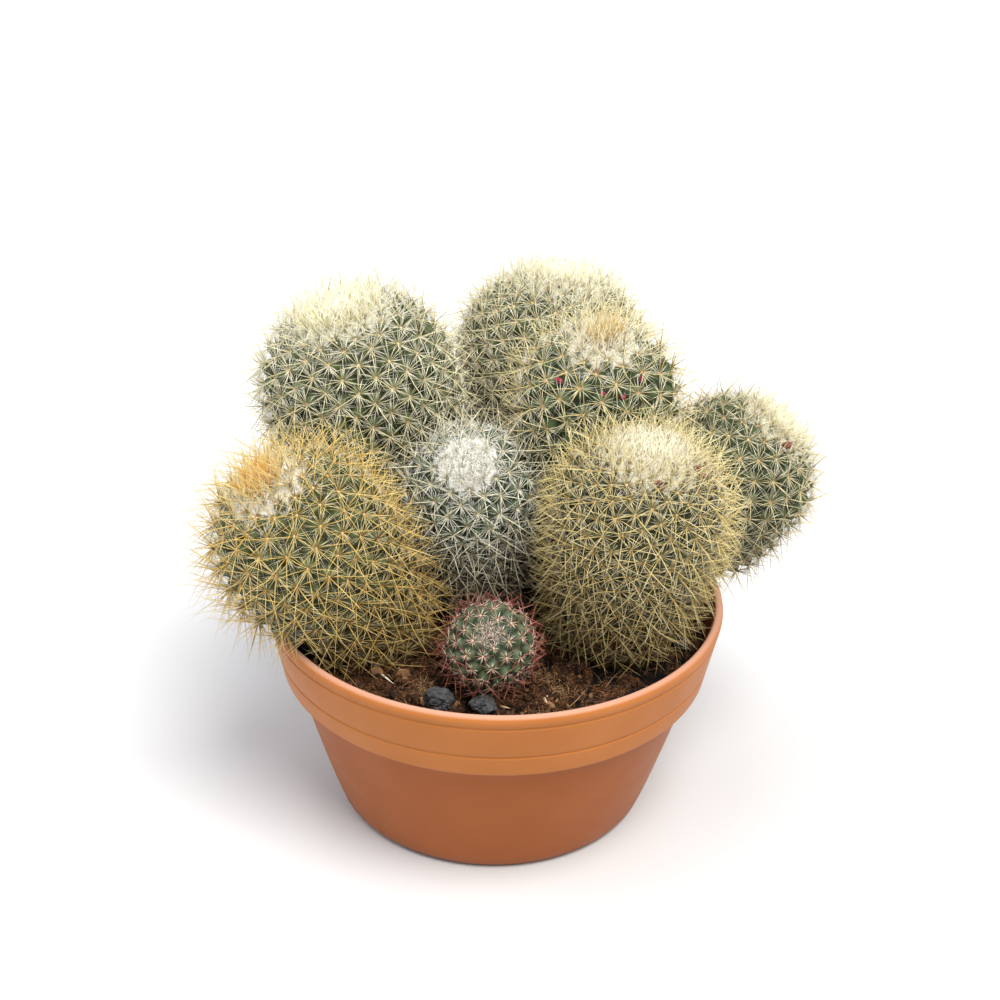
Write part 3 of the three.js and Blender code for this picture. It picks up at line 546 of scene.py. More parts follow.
def grow_spines(head, kind, tilt, length, radius, count, droop, stations):
    """Every areole's spray of one kind of spine, as one mesh's arrays. The very short are left out, and so
    are central spines where the tuft in the crown's middle stands."""
    shortest, in_tuft = 0.15 * length, 0.8 * head.brush[0]
    random = np.random.default_rng(head.seed + len(kind))
    base, normal, up, run = bear_spots(head)
    own = length * (head.grown(run) if kind == "central" else np.ones(len(run)))
    start, direction, size, thick, bend = spray(
        head, random, base, normal, up, run, count, tilt, own, radius, droop)
    good = outside(head, start, direction, size, bend) & (size > shortest)
    if kind == "central":
        good &= np.repeat(run > in_tuft, count)
    start, direction, size, thick, bend = (v[good] for v in (start, direction, size, thick, bend))
    points, faces, along, each = spikes(start, direction, size, thick, bend, stations)
    shade = np.repeat(random.uniform(0, 1, len(start)), each)
    run = np.repeat(np.repeat(run, count)[good], each)
    extra = {"along": along, "shade": shade, "youth": head.youth(run), "age": run / head.run[-1]}
    return points, faces, extra


def grow_brush(head):
    """The tuft of young spines in the crown's middle, upright there and leaning out towards its edge."""
    with_skin, with_axis, outward, unruly = 0.5, 0.8, 0.42, 0.17  # what sets the way a spine points
    root_depth, edge_loss, bend_spread = 0.4, 0.25, 0.06
    random = np.random.default_rng(head.seed + 13)
    reach, length, density = head.brush[:3]
    count = int(math.pi * reach ** 2 * density)
    share = np.sqrt(random.uniform(0, 1, count))
    base, normal, up, _ = head.surface(reach * share, random.uniform(0, 2 * np.pi, count))
    lean = with_skin * normal + with_axis * head.tangent[0] - outward * share[:, None] * up
    direction = unit(lean + unruly * random.standard_normal(base.shape))
    base = base - (head.dip(reach * share) + root_depth)[:, None] * normal
    size = length * random.uniform(0.55, 1.1, count) * (1 - edge_loss * share)
    bend = random.normal(0, bend_spread, base.shape)
    thick = random.uniform(0.15, 0.23, count)
    points, faces, along, each = spikes(base, direction, size, thick, bend, (0, 0.35, 0.7))
    shade = np.repeat(random.uniform(0, 1, count), each)
    return points, faces, {"along": along, "shade": shade}


def grow_pads(head):
    """Areole cushions: low uneven domes of two rings and a top, each a little longer towards the crown,
    larger and whiter near it, and none where the crown's wool would hide them."""
    size, young_share, hidden = 0.09 * head.spacing, 0.3, 0.5
    ring, height, top = np.array([1.0, 0.75]), np.array([-0.3, 0.16]), 0.32  # shares of the dome's radius
    long, uneven, sides = 1.15, 0.2, 6
    random = np.random.default_rng(head.seed + 7)
    base, normal, up, run = bear_spots(head)
    open_skin = head.youth(run) < hidden
    base, normal, up, run = (values[open_skin] for values in (base, normal, up, run))
    youth = head.youth(run)
    sideways = np.cross(normal, up)
    wide = size * (1 + young_share * youth)
    turn = np.arange(sides) * 2 * np.pi / sides
    lump = 1 + uneven * random.standard_normal((len(base), 2, sides))
    around = up[:, None] * np.cos(turn)[:, None] * long + sideways[:, None] * np.sin(turn)[:, None]
    points = (base[:, None, None]
              + around[:, None] * (wide[:, None, None] * ring[:, None] * lump)[..., None]
              + normal[:, None, None] * (wide[:, None] * height)[:, :, None, None])
    tip = base + normal * (wide * top)[:, None]
    points = np.concatenate([points.reshape(len(base), 2 * sides, 3), tip[:, None]], 1)
    each = 2 * sides + 1
    k = np.arange(sides)
    after = (k + 1) % sides
    faces = np.vstack([
        np.stack([k, after, sides + after], -1), np.stack([k, sides + after, sides + k], -1),
        np.stack([sides + k, sides + after, np.full(sides, each - 1)], -1),
        np.array([[0, i + 1, i] for i in range(1, sides - 1)])])
    faces = repeated(faces, len(base), each)[:, ::-1]
    shade = np.repeat(random.uniform(0, 1, len(base)), each)
    return points.reshape(-1, 3), [faces], {"shade": shade, "youth": np.repeat(youth, each)}


def strand_roots(head, random):
    """Spots where wool may root: spread evenly over the crown, and less thickly over the head's upper part.
    The densities are strands on a square millimetre."""
    near, far = 1.3 * head.crest, 2.2 * head.radius
    crown_density, body_density = 2.8, 1.3
    on_crown = near * np.sqrt(random.uniform(0, 1, int(math.pi * near ** 2 * crown_density * FINE)))
    on_body = far * random.uniform(0, 1, int(2 * math.pi * head.radius * far * body_density * FINE))
    fits = random.uniform(0, head.radius, len(on_body)) < np.interp(on_body, head.run, head.thick)
    run = np.concatenate([on_crown, on_body[fits]])
    return run, random.uniform(0, 2 * np.pi, len(run))


def grow_wool(head):
    """White hair: short curly strands, thick on the crown and in patches in the axils, longer, thicker and
    more upright on the crown. A strand is thicker than a real hair, which wouldn't show."""
    root_depth, over_soil, unruly, curl, lies_down = 0.1, 4, 0.7, 0.6, 0.2
    random = np.random.default_rng(head.seed + 11)
    run, angle = strand_roots(head, random)
    spots = head.surface(*areoles(head))[0]
    points, normal, _, centre = head.surface(run, angle)
    height = tubercle(*nearest_two(points, spots)[:2])
    kept = press(head, centre, points)[1]
    grows = random.uniform(0, 1, len(run)) < woolliness(head, run, points, height)
    keep = grows & (kept > FREE_WOOL) & (points[:, 2] > SOIL_LEVEL + over_soil)
    points, normal, run, height = (values[keep] for values in (points, normal, run, height))
    youth = head.youth(run)
    points = points + normal * (relief(head, run, height) - root_depth)[:, None]
    upright = (0.5 + 0.7 * youth)[:, None]
    direction = unit(normal * upright + unruly * random.standard_normal(points.shape))
    length = random.uniform(0.9, 2.0, len(points)) * (1 + 1.1 * youth)
    bend = curl * random.standard_normal(points.shape) - lies_down * normal
    thick = 0.07 + 0.05 * youth
    made, faces, along, _ = spikes(points, direction, length, thick, bend, (0, 0.55))
    return made, faces, {"along": along}


def dress(head):
    """All pieces of one head. The skin stands for the CAD solid, and the radial spines lie nearly flat on
    it, a little thicker than life, because finer ones don't show."""
    name, slot = head.name, head.name
    central_radius, central_droop = 0.27, 0.03
    radial_radius, radial_tilt = 0.2, 74
    skin = material(
        name + "_epidermis", epidermis, *head.skin, *head.fleece, IOR=1.4, Specular_IOR_Level=0.35)
    points, faces, extra = grow_skin(head)
    piece(name + "_skin", points, faces, skin, nodes=[name], attributes=extra)
    few, many = head.count
    curved, straight = (0, 0.35, 0.7), (0,)  # where along a spine its rings of points are
    for kind, tilt, length, radius, count, droop, stations, colours in (
            ("central", head.spread, head.long, central_radius, few, central_droop, curved, head.central),
            ("radial", radial_tilt, head.short, radial_radius, many, 0.0, straight, head.radial)):
        horn = material(name + "_" + kind + "_horn", spine_horn, *colours, Roughness=0.42, IOR=1.5)
        points, faces, extra = grow_spines(head, kind, tilt, length, radius, count, droop, stations)
        piece(name + "_" + kind + "_spines", points, faces, horn, attributes=extra)
    horn = material(name + "_young_horn", spine_horn, *head.brush[3:], Roughness=0.42, IOR=1.5)
    points, faces, extra = grow_brush(head)
    piece(name + "_young_spines", points, faces, horn, attributes=extra)
    points, faces, extra = grow_pads(head)
    pads = material(name + "_felt", felt, *head.felt, Roughness=0.95)
    piece(name + "_pads", points, faces, pads, attributes=extra)
    points, faces, extra = grow_wool(head)
    wool = material(name + "_wool", plant_wool, *head.fleece, Roughness=1.0)
    piece(name + "_wool", points, faces, wool, attributes=extra)


# ---------- noise and lumps ----------

def lattice_noise(points, size, seed):
    """Smooth noise from -1 to 1: random values on a lattice of that spacing in millimetres, which repeats
    after 32 cells, blended between its corners with 3t^2 - 2t^3."""
    cells = 32
    table = np.random.default_rng(seed).uniform(-1, 1, (cells, cells, cells))
    place = points / size
    cell = np.floor(place).astype(int)
    t = place - cell
    t = t * t * (3 - 2 * t)
    total = np.zeros(len(points))
    for corner in np.ndindex(2, 2, 2):
        weight = np.prod(np.where(corner, t, 1 - t), axis=1)
        x, y, z = ((cell + corner) % cells).T
        total += weight * table[x, y, z]
    return total


def rough(points, size, octaves, seed):
    """Octaves of lattice noise, each at half the size and just over half the height of the one before."""
    fall = 0.55
    return sum(fall ** k * lattice_noise(points, size / 2 ** k, seed + k) for k in range(octaves))


def ball_grid(rows, columns):
    """Points of a unit ball on a grid with closed poles, and its faces."""
    tilt = np.linspace(0, np.pi, rows + 2)[1:-1, None]
    angle = np.arange(columns) * 2 * np.pi / columns
    points = np.stack([np.sin(tilt) * np.cos(angle), np.sin(tilt) * np.sin(angle),
                       -np.cos(tilt) + 0 * angle], -1)
    return np.vstack([[[0, 0, -1]], points.reshape(-1, 3), [[0, 0, 1]]]), closed_faces(rows, columns)


def lumps(random, centres, sizes, shapes, turns=True):
    """Rough little lumps of 12 corners: a unit ball of two rings of five, each corner moved at random,
    stretched by shapes and turned any way. Without turns a lump stays nearly along X and is turned any way
    round it."""
    uneven, about_x = 0.24, [0.25, 0.25, 1, 1]  # the second weights a turn's w, x, y and z
    ball, faces = ball_grid(2, 5)
    count = len(centres)
    lump = ball[None] * (1 + uneven * random.uniform(-1, 1, (count, len(ball), 1)))
    lump = lump * shapes[:, None] * sizes[:, None, None]
    q = unit(random.standard_normal((count, 4)) * (1 if turns else about_x))
    w, axis = q[:, None, :1], q[:, None, 1:]
    lump = lump + 2 * np.cross(axis, np.cross(axis, lump) + w * lump)
    points = (lump + centres[:, None]).reshape(-1, 3)
    return points, [repeated(part, count, len(ball)) for part in faces], len(ball)


# ---------- materials ----------

def linear(hex_colour):
    """An sRGB hex colour as linear RGBA."""
    parts = np.array([int(hex_colour[i:i + 2], 16) for i in (0, 2, 4)]) / 255
    parts = np.where(parts <= 0.04045, parts / 12.92, ((parts + 0.055) / 1.055) ** 2.4)
    return (*parts.tolist(), 1.0)


def node(tree, kind, sockets=(), out=0, **settings):
    """Adds a shader node with its settings and returns one of its outputs. Each of its sockets, a list in
    the inputs' order or a dictionary, gets a value, a hex colour or a link."""
    made = tree.nodes.new("ShaderNode" + kind)
    for key, value in settings.items():
        setattr(made, key, value)
    for key, value in sockets.items() if isinstance(sockets, dict) else enumerate(sockets):
        if isinstance(value, bpy.types.NodeSocket):
            tree.links.new(value, made.inputs[key])
        else:
            made.inputs[key].default_value = linear(value) if isinstance(value, str) else value
    return made.outputs[out] if made.outputs else None


def material(name, paint, *looks, **shader):
    """A material of one Principled shader. shader holds its constant sockets, and paint adds the nodes for
    the others."""
    made = bpy.data.materials.new(name)
    made.use_nodes = True
    tree = made.node_tree
    tree.nodes.clear()
    sockets = {key.replace("_", " "): value for key, value in shader.items()}
    surface = node(tree, "BsdfPrincipled", {**sockets, **paint(tree, *looks)})
    node(tree, "OutputMaterial", {"Surface": surface})
    return made


def per(size):
    """Scale of a texture whose features are size millimetres across."""
    return 1 / (size * MM)


MIX = dict(data_type="RGBA", out=2)  # its sockets: 0 the share, 6 and 7 the colours


def moulded_plastic(tree):
    """Polypropylene coloured terracotta, injection moulded: orange with faint clouds where the melt flowed,
    with painted light that makes the rim band lighter than the body under it, a painted highlight on the
    lip's top, and a fine grain that softens its sheen. The real grain is about 0.1 mm and wouldn't show, so
    it is drawn at 0.9 mm."""
    spot = node(tree, "TexCoord", out="Object")
    clouds = node(tree, "TexNoise", {"Vector": spot, "Scale": per(34), "Detail": 3.0})
    grain = node(tree, "TexNoise", {"Vector": spot, "Scale": per(0.9), "Detail": 5.0})
    height = node(tree, "SeparateXYZ", [spot], out="Z")
    cloudy = node(tree, "MapRange", [clouds, 0.35, 0.7])
    # painted light and shade: the rim band is made lighter than the body under it, though both are one
    # plastic
    body = node(tree, "Mix", {0: cloudy, 6: "9A5320", 7: "945020"}, **MIX)
    rim = node(tree, "Mix", {0: cloudy, 6: "B06C34", 7: "AA6730"}, **MIX)
    paler_share = node(tree, "MapRange", [height, (RIM_BOTTOM - 2) * MM, (RIM_BOTTOM + 1) * MM])
    colour = node(tree, "Mix", {0: paler_share, 6: body, 7: rim}, **MIX)
    # painted highlight: the lip's top is mixed towards a pale pink
    top = node(tree, "MapRange", [height, (POT_HEIGHT - 1.5) * MM, POT_HEIGHT * MM, 0.0, 0.6])
    colour = node(tree, "Mix", {0: top, 6: colour, 7: "C4A094"}, **MIX)
    return {"Base Color": colour,
            "Roughness": node(tree, "MapRange", [clouds, 0.3, 0.7, 0.4, 0.5]),
            "Normal": node(tree, "Bump", {"Height": grain, "Distance": 0.05 * MM, "Strength": 0.35})}


def epidermis(tree, dark, light, shadow, white):
    """Cactus skin with its wax: green, paler where wax lies thick on the tubercles, nearly black deep in the
    axils as painted shade, darker lower down, partly with age and partly as painted shade, brown and corky
    low on the stem, and hidden by felted wool on the crown and in some axils. The wax's specks are finer
    than the 0.7 mm at which they are drawn to show."""
    spot = node(tree, "TexCoord", out="Object")
    height = node(tree, "Attribute", attribute_name="height", out="Fac")
    age = node(tree, "Attribute", attribute_name="age", out="Fac")
    patches = node(tree, "TexNoise", {"Vector": spot, "Scale": per(9), "Detail": 4.0})
    fine = node(tree, "TexNoise", {"Vector": spot, "Scale": per(0.7), "Detail": 3.0})
    raised = node(tree, "MapRange", [height, 0.1, 0.95, 0.0, 0.85])
    grain = node(tree, "MapRange", [fine, 0.3, 0.7, -0.12, 0.15])
    wax = node(tree, "Math", [raised, grain], operation="ADD", use_clamp=True)
    colour = node(tree, "Mix", {0: wax, 6: dark, 7: light}, **MIX)
    sunned = node(tree, "MapRange", [patches, 0.5, 0.8, 0.0, 0.3])
    colour = node(tree, "Mix", {0: sunned, 6: colour, 7: "6F7B4F"}, **MIX)
    # painted shade: the skin turns nearly black deep in the axils between the tubercles
    deep = node(tree, "MapRange", [height, 0.3, 0.0, 0.0, 0.6])
    colour = node(tree, "Mix", {0: deep, 6: colour, 7: "1C2014"}, **MIX)
    # darker lower down: partly as the skin ages, partly painted shade low on the head
    dull = node(tree, "MapRange", [age, 0.4, 0.8, 0.0, 0.6])
    colour = node(tree, "Mix", {0: dull, 6: colour, 7: "2E2A12"}, **MIX)
    old = node(tree, "MapRange", [age, 0.7, 1.0])
    blotches = node(tree, "MapRange", [patches, 0.35, 0.6])
    cork = node(tree, "Math", [old, blotches], operation="MULTIPLY")
    colour = node(tree, "Mix", {0: cork, 6: colour, 7: "6E5530"}, **MIX)
    woolly = node(tree, "Attribute", attribute_name="wool", out="Fac")
    strands = node(tree, "MapRange", [fine, 0.3, 0.6])
    ragged = node(tree, "MapRange", [fine, 0.3, 0.7, -0.2, 0.2])
    covered = node(tree, "Math", [woolly, ragged], operation="ADD")
    covered = node(tree, "MapRange", [covered, 0.35, 0.9, 0.0, 0.95])
    hair = node(tree, "Mix", {0: strands, 6: shadow, 7: white}, **MIX)
    colour = node(tree, "Mix", {0: covered, 6: colour, 7: hair}, **MIX)
    return {"Base Color": colour,
            "Roughness": node(tree, "MapRange", [fine, 0.3, 0.7, 0.42, 0.6]),
            "Normal": node(tree, "Bump", {"Height": fine, "Distance": 0.12 * MM, "Strength": 0.6})}


def spine_horn(tree, root, gold, pale):
    """Spines, hard and dry as horn: amber at the root, then golden, paler towards the tip and on the young
    crown, and darker lower down, partly with age and partly as painted shade. No two are quite alike."""
    along, shade, youth, age = (node(tree, "Attribute", attribute_name=name, out="Fac")
                                for name in ("along", "shade", "youth", "age"))
    paler_share = node(tree, "MapRange", [along, 0.0, 0.9, 0.1, 0.8])
    own = node(tree, "MapRange", [shade, 0.0, 1.0, -0.35, 0.35])
    young = node(tree, "MapRange", [youth, 0.0, 0.6, 0.0, 0.5])
    share = node(tree, "Math", [paler_share, own], operation="ADD")
    share = node(tree, "Math", [share, young], operation="ADD", use_clamp=True)
    colour = node(tree, "Mix", {0: share, 6: gold, 7: pale}, **MIX)
    # darker lower down: partly older spines, partly painted shade low on the head
    dull = node(tree, "MapRange", [age, 0.4, 0.85, 0.0, 0.6])
    colour = node(tree, "Mix", {0: dull, 6: colour, 7: "7C5E2C"}, **MIX)
    near = node(tree, "MapRange", [along, 0.3, 0.0, 0.0, 0.6])
    return {"Base Color": node(tree, "Mix", {0: near, 6: colour, 7: root}, **MIX)}


def felt(tree, tan, beige):
    """Areole felt, short matted hair: tan on grown areoles, each a little different, and white at the crown.
    A hair is some hundredths of a millimetre thick, and is drawn at 0.5 mm to show."""
    spot = node(tree, "TexCoord", out="Object")
    shade = node(tree, "Attribute", attribute_name="shade", out="Fac")
    youth = node(tree, "Attribute", attribute_name="youth", out="Fac")
    hair = node(tree, "TexNoise", {"Vector": spot, "Scale": per(0.5), "Detail": 3.0})
    colour = node(tree, "Mix", {0: shade, 6: tan, 7: beige}, **MIX)
    white = node(tree, "MapRange", [youth, 0.15, 0.7])
    return {"Base Color": node(tree, "Mix", {0: white, 6: colour, 7: "DEDACA"}, **MIX),
            "Normal": node(tree, "Bump", {"Height": hair, "Distance": 0.25 * MM, "Strength": 0.8})}


def plant_wool(tree, shadow, white):
    """Axil wool, fine soft hair: dull, a little greyer at its root."""
    along = node(tree, "Attribute", attribute_name="along", out="Fac")
    return {"Base Color": node(tree, "Mix", {0: along, 6: shadow, 7: white}, **MIX)}


def peat(tree):
    """Potting peat, crumbled: dull dark brown in patches, with lighter dry crumbs, and with painted shade
    that makes its hollows nearly black.
    """
    spot = node(tree, "TexCoord", out="Object")
    coarse = node(tree, "TexNoise", {"Vector": spot, "Scale": per(5), "Detail": 5.0})
    fine = node(tree, "TexNoise", {"Vector": spot, "Scale": per(1.1), "Detail": 5.0})
    damp = node(tree, "MapRange", [coarse, 0.35, 0.7])
    colour = node(tree, "Mix", {0: damp, 6: "110A05", 7: "40260F"}, **MIX)
    dry = node(tree, "MapRange", [fine, 0.5, 0.75])
    colour = node(tree, "Mix", {0: dry, 6: colour, 7: "7A5234"}, **MIX)
    # painted shade: the soil's hollows are made nearly black
    pit = node(tree, "Attribute", attribute_name="pit", out="Fac")
    return {"Base Color": node(tree, "Mix", {0: pit, 6: colour, 7: "0B0705"}, **MIX),
            "Normal": node(tree, "Bump", {"Height": fine, "Distance": 0.8 * MM})}


def bark(tree):
    """Composted bark, crumbled: each piece its own brown, most dark and damp, a few tan and dry."""
    spot = node(tree, "TexCoord", out="Object")
    shade = node(tree, "Attribute", attribute_name="shade", out="Fac")
    fine = node(tree, "TexNoise", {"Vector": spot, "Scale": per(1.0), "Detail": 4.0})
    brown = node(tree, "MapRange", [shade, 0.0, 0.75])
    colour = node(tree, "Mix", {0: brown, 6: "1C100B", 7: "644028"}, **MIX)
    dry = node(tree, "MapRange", [shade, 0.75, 1.0])
    colour = node(tree, "Mix", {0: dry, 6: colour, 7: "94704E"}, **MIX)
    pits = node(tree, "MapRange", [fine, 0.5, 0.8, 0.0, 0.5])
    return {"Base Color": node(tree, "Mix", {0: pits, 6: colour, 7: "2A1C13"}, **MIX),
            "Normal": node(tree, "Bump", {"Height": fine, "Distance": 0.4 * MM, "Strength": 0.8})}


def dry_fibre(tree, dark, pale):
    """Dry root and straw: stiff strands, each its own shade between two, with a slight gloss."""
    shade = node(tree, "Attribute", attribute_name="shade", out="Fac")
    return {"Base Color": node(tree, "Mix", {0: shade, 6: dark, 7: pale}, **MIX)}


def lava(tree):
    """Lava gravel, broken: dull grey with dark pores about a millimetre apart."""
    spot = node(tree, "TexCoord", out="Object")
    pores = node(tree, "TexVoronoi", {"Vector": spot, "Scale": per(1.1)}, out="Distance")
    patches = node(tree, "TexNoise", {"Vector": spot, "Scale": per(3), "Detail": 5.0})
    grey = node(tree, "MapRange", [patches, 0.35, 0.65])
    colour = node(tree, "Mix", {0: grey, 6: "222325", 7: "4C4D50"}, **MIX)
    pit = node(tree, "MapRange", [pores, 0.3, 0.1])
    return {"Base Color": node(tree, "Mix", {0: pit, 6: colour, 7: "161718"}, **MIX),
            "Normal": node(tree, "Bump", {"Height": pores, "Distance": 0.8 * MM})}


def berry_skin(tree):
    """Ripe berry skin: thin, smooth and waxy, deep pinkish red, paler at the foot."""
    spot = node(tree, "TexCoord", out="Object")
    along = node(tree, "Attribute", attribute_name="along", out="Fac")
    patches = node(tree, "TexNoise", {"Vector": spot, "Scale": per(2.5), "Detail": 3.0})
    colour = node(tree, "Mix", {0: along, 6: "B8606C", 7: "983044"}, **MIX)
    ripe = node(tree, "MapRange", [patches, 0.5, 0.8, 0.0, 0.4])
    return {"Base Color": node(tree, "Mix", {0: ripe, 6: colour, 7: "702430"}, **MIX)}


def pale_board(tree):
    """Matt white board under the pot, with barely visible clouds."""
    spot = node(tree, "TexCoord", out="Object")
    clouds = node(tree, "TexNoise", {"Vector": spot, "Scale": per(400)})
    return {"Base Color": node(tree, "Mix", {0: clouds, 6: "C4C4C6", 7: "C8C8CA"}, **MIX)}


# ---------- pot ----------

FLOOR_CORNER = 3.0
LIP_EDGE = POT_HEIGHT - 3  # the height at which the rim band reaches the lip's radius
RIM_SLOPE = (LIP_RADIUS - RIM_BOTTOM_RADIUS) / (LIP_EDGE - RIM_BOTTOM)


def body_radius(height):
    """Outer radius of the body under the rim band."""
    return BASE_RADIUS + (BODY_TOP_RADIUS - BASE_RADIUS) * (np.asarray(height) / RIM_BOTTOM) ** BODY_SWELL


def rim_radius(height):
    """Outer radius of the rim band, which widens evenly."""
    return RIM_BOTTOM_RADIUS + RIM_SLOPE * (height - RIM_BOTTOM)


FLOOR_EDGE = body_radius(FLOOR) - WALL - FLOOR_CORNER
# the wall's inner face from the floor's corner to the lip, as radius, height and bend
INNER_WALL = [
    (body_radius(FLOOR + FLOOR_CORNER) - WALL, FLOOR + FLOOR_CORNER, 2.0),
    (body_radius(38) - WALL, 38.0, 20.0),
    (BODY_TOP_RADIUS - WALL - 0.5, RIM_BOTTOM - 2.5, 2.0),
    (RIM_BOTTOM_RADIUS - WALL, RIM_BOTTOM + 5, 3.0),
    (LIP_INNER_RADIUS, POT_HEIGHT - 1.8, 1.0),
]


def pot_profile():
    """Half section of the pot: a body that swells as height to the 0.88, a shelf under the deep rim band,
    two fine grooves, a rounded lip, and the inner wall down to the floor."""
    swell = [(float(body_radius(z)), z, 0) for z in np.linspace(4, RIM_BOTTOM - 4, 16)]
    top, floor = GROOVE_HALF_WIDTHS
    outside = [(0, 0, 0), (BASE_RADIUS - 2, 0, 0.8), (BASE_RADIUS, 1.8, 1.2), *swell,
               (BODY_TOP_RADIUS, RIM_BOTTOM - 2, 1.2), (RIM_BOTTOM_RADIUS - 0.8, RIM_BOTTOM, 1.0),
               (RIM_BOTTOM_RADIUS + 0.2, RIM_BOTTOM + 1, 0.8)]
    for height in GROOVE_HEIGHTS:
        for side, depth in ((-top, 0), (-floor, GROOVE_DEPTH), (floor, GROOVE_DEPTH), (top, 0)):
            outside.append((rim_radius(height + side) - depth, height + side, 0.4))
    lip = [(LIP_RADIUS, POT_HEIGHT - 3.4, 1.4), (LIP_RADIUS - 0.5, POT_HEIGHT - 0.9, 1.4),
           (LIP_RADIUS - 2.2, POT_HEIGHT, 1.4), (LIP_INNER_RADIUS + 0.9, POT_HEIGHT - 0.2, 1.0)]
    return rounded([*outside, *lip, *INNER_WALL[::-1], (FLOOR_EDGE, FLOOR, 2.0), (0, FLOOR, 0)])


def drained(pot):
    """Cuts the round drainage holes through the pot's floor, with a drill that reaches past its faces."""
    columns, low, high = 32, -3, FLOOR + 3
    for hole in range(DRAIN_HOLES):
        turn = (hole + 0.5) * 2 * math.pi / DRAIN_HOLES
        drill = np.array([(0, low), (DRAIN_RADIUS, low), (DRAIN_RADIUS, high), (0, high)], float)
        points, faces = turned(drill, columns)
        points += [DRAIN_CIRCLE * math.cos(turn), DRAIN_CIRCLE * math.sin(turn), 0]
        cutter = shape("drill", points, faces)
        cut = pot.modifiers.new("hole", "BOOLEAN")
        cut.object, cut.operation, cut.solver = cutter, "DIFFERENCE", "EXACT"
        seen = pot.evaluated_get(bpy.context.evaluated_depsgraph_get())
        drilled = bpy.data.meshes.new_from_object(seen)
        pot.modifiers.clear()
        pot.data = drilled
        bpy.data.objects.remove(cutter)


# ---------- soil, crumbs, chips and fibres ----------

def soil_height(x, y):
    """Gentle waves, as in the CAD solid."""
    return SOIL_LEVEL + SOIL_RELIEF * (np.sin(x / 9) * np.cos(y / 11) + 0.5 * np.sin((x + y) / 6))


def clods(x, y):
    """Lumps and pits of the soil, about from -1 to 1: four octaves of noise."""
    return rough(np.stack([x, y, 0 * x], -1), 9, 4, 5)


def crumbly(x, y):
    """Height of the finished soil: the waves with clods on top."""
    return soil_height(x, y) + SOIL_BUMP * clods(x, y)


def soil_disc():
    """The soil as one closed body: a disc of rings whose top follows crumbly, and a side that follows the
    pot's wall a little inside it."""
    gap, over_floor, bevel, pit_depth = 0.4, 0.3, 0.6, 2.6
    columns = int(400 * FINE)
    inner = [(r - gap, z, bend) for r, z, bend in INNER_WALL[:-1]]
    wall = rounded([(FLOOR_EDGE - gap, FLOOR + over_floor, 0), *inner, (SOIL_EDGE, SOIL_LEVEL - 1.5, 0)])
    rings = np.linspace(SOIL_EDGE - bevel, bevel, int(110 * FINE))
    top = np.stack([rings, np.full(len(rings), SOIL_LEVEL)], -1)
    start, end = [[0, FLOOR + over_floor]], [[0, SOIL_LEVEL]]
    points, faces = turned(np.vstack([start, wall, top, end]), columns)
    surface = slice(1 + len(wall) * columns, None)
    x, y = points[surface, :2].T
    points[surface, 2] = crumbly(x, y)
    # how deep each point of the top lies in a hollow, for the painted shade that darkens it
    pit = np.zeros(len(points))
    pit[surface] = np.clip(-pit_depth * clods(x, y), 0, 1)
    return points, faces, {"pit": pit}


def bare_ground(random, count):
    """Random spots of soil, spread evenly, that no head stands on. Each spot takes three draws, and the
    second isn't used."""
    from_edge, under_head = 2, 1
    share = random.uniform(0, 1, (2, count))[0]
    reach = (SOIL_EDGE - from_edge) * np.sqrt(share)
    turn = random.uniform(0, 2 * np.pi, count)
    spots = np.stack([reach * np.cos(turn), reach * np.sin(turn)], -1)
    spots = np.column_stack([spots, crumbly(*spots.T)])
    clear = np.ones(count, bool)
    for head in heads:
        clear &= head.distance(spots) > -under_head
    return spots[clear]


def scatter(name, finish, count, seed, sizes, flat, sink=0.0):
    """Crumbs or chips on the soil as one mesh, each with its own shade. Sizes follow a power law, many small
    and few large. They stay clear of the pot's wall and out of the soil's pits. flat is their height as a
    share of their size, and sink how much deeper than usual they sit, the same way."""
    power, longest, deepest_pit, seat, flattest_turned = 3, 1.3, -0.2, 0.35, 0.5
    random = np.random.default_rng(seed)
    centres = bare_ground(random, int(count * FINE))
    size = sizes[0] + (sizes[1] - sizes[0]) * random.uniform(0, 1, len(centres)) ** power
    inside = np.hypot(centres[:, 0], centres[:, 1]) + longest * size < SOIL_EDGE
    inside &= clods(centres[:, 0], centres[:, 1]) > deepest_pit
    centres, size = centres[inside], size[inside]
    many = len(centres)
    long, wide = random.uniform(0.7, longest, many), random.uniform(0.6, 1, many)
    shapes = np.column_stack([long, wide, np.full(many, flat)])
    centres[:, 2] += (seat - sink) * size * flat
    points, faces, each = lumps(random, centres, size, shapes, turns=flat > flattest_turned)
    shade = np.repeat(random.uniform(0, 1, many), each)
    return piece(name, points, faces, finish, attributes={"shade": shade}, smooth=False)


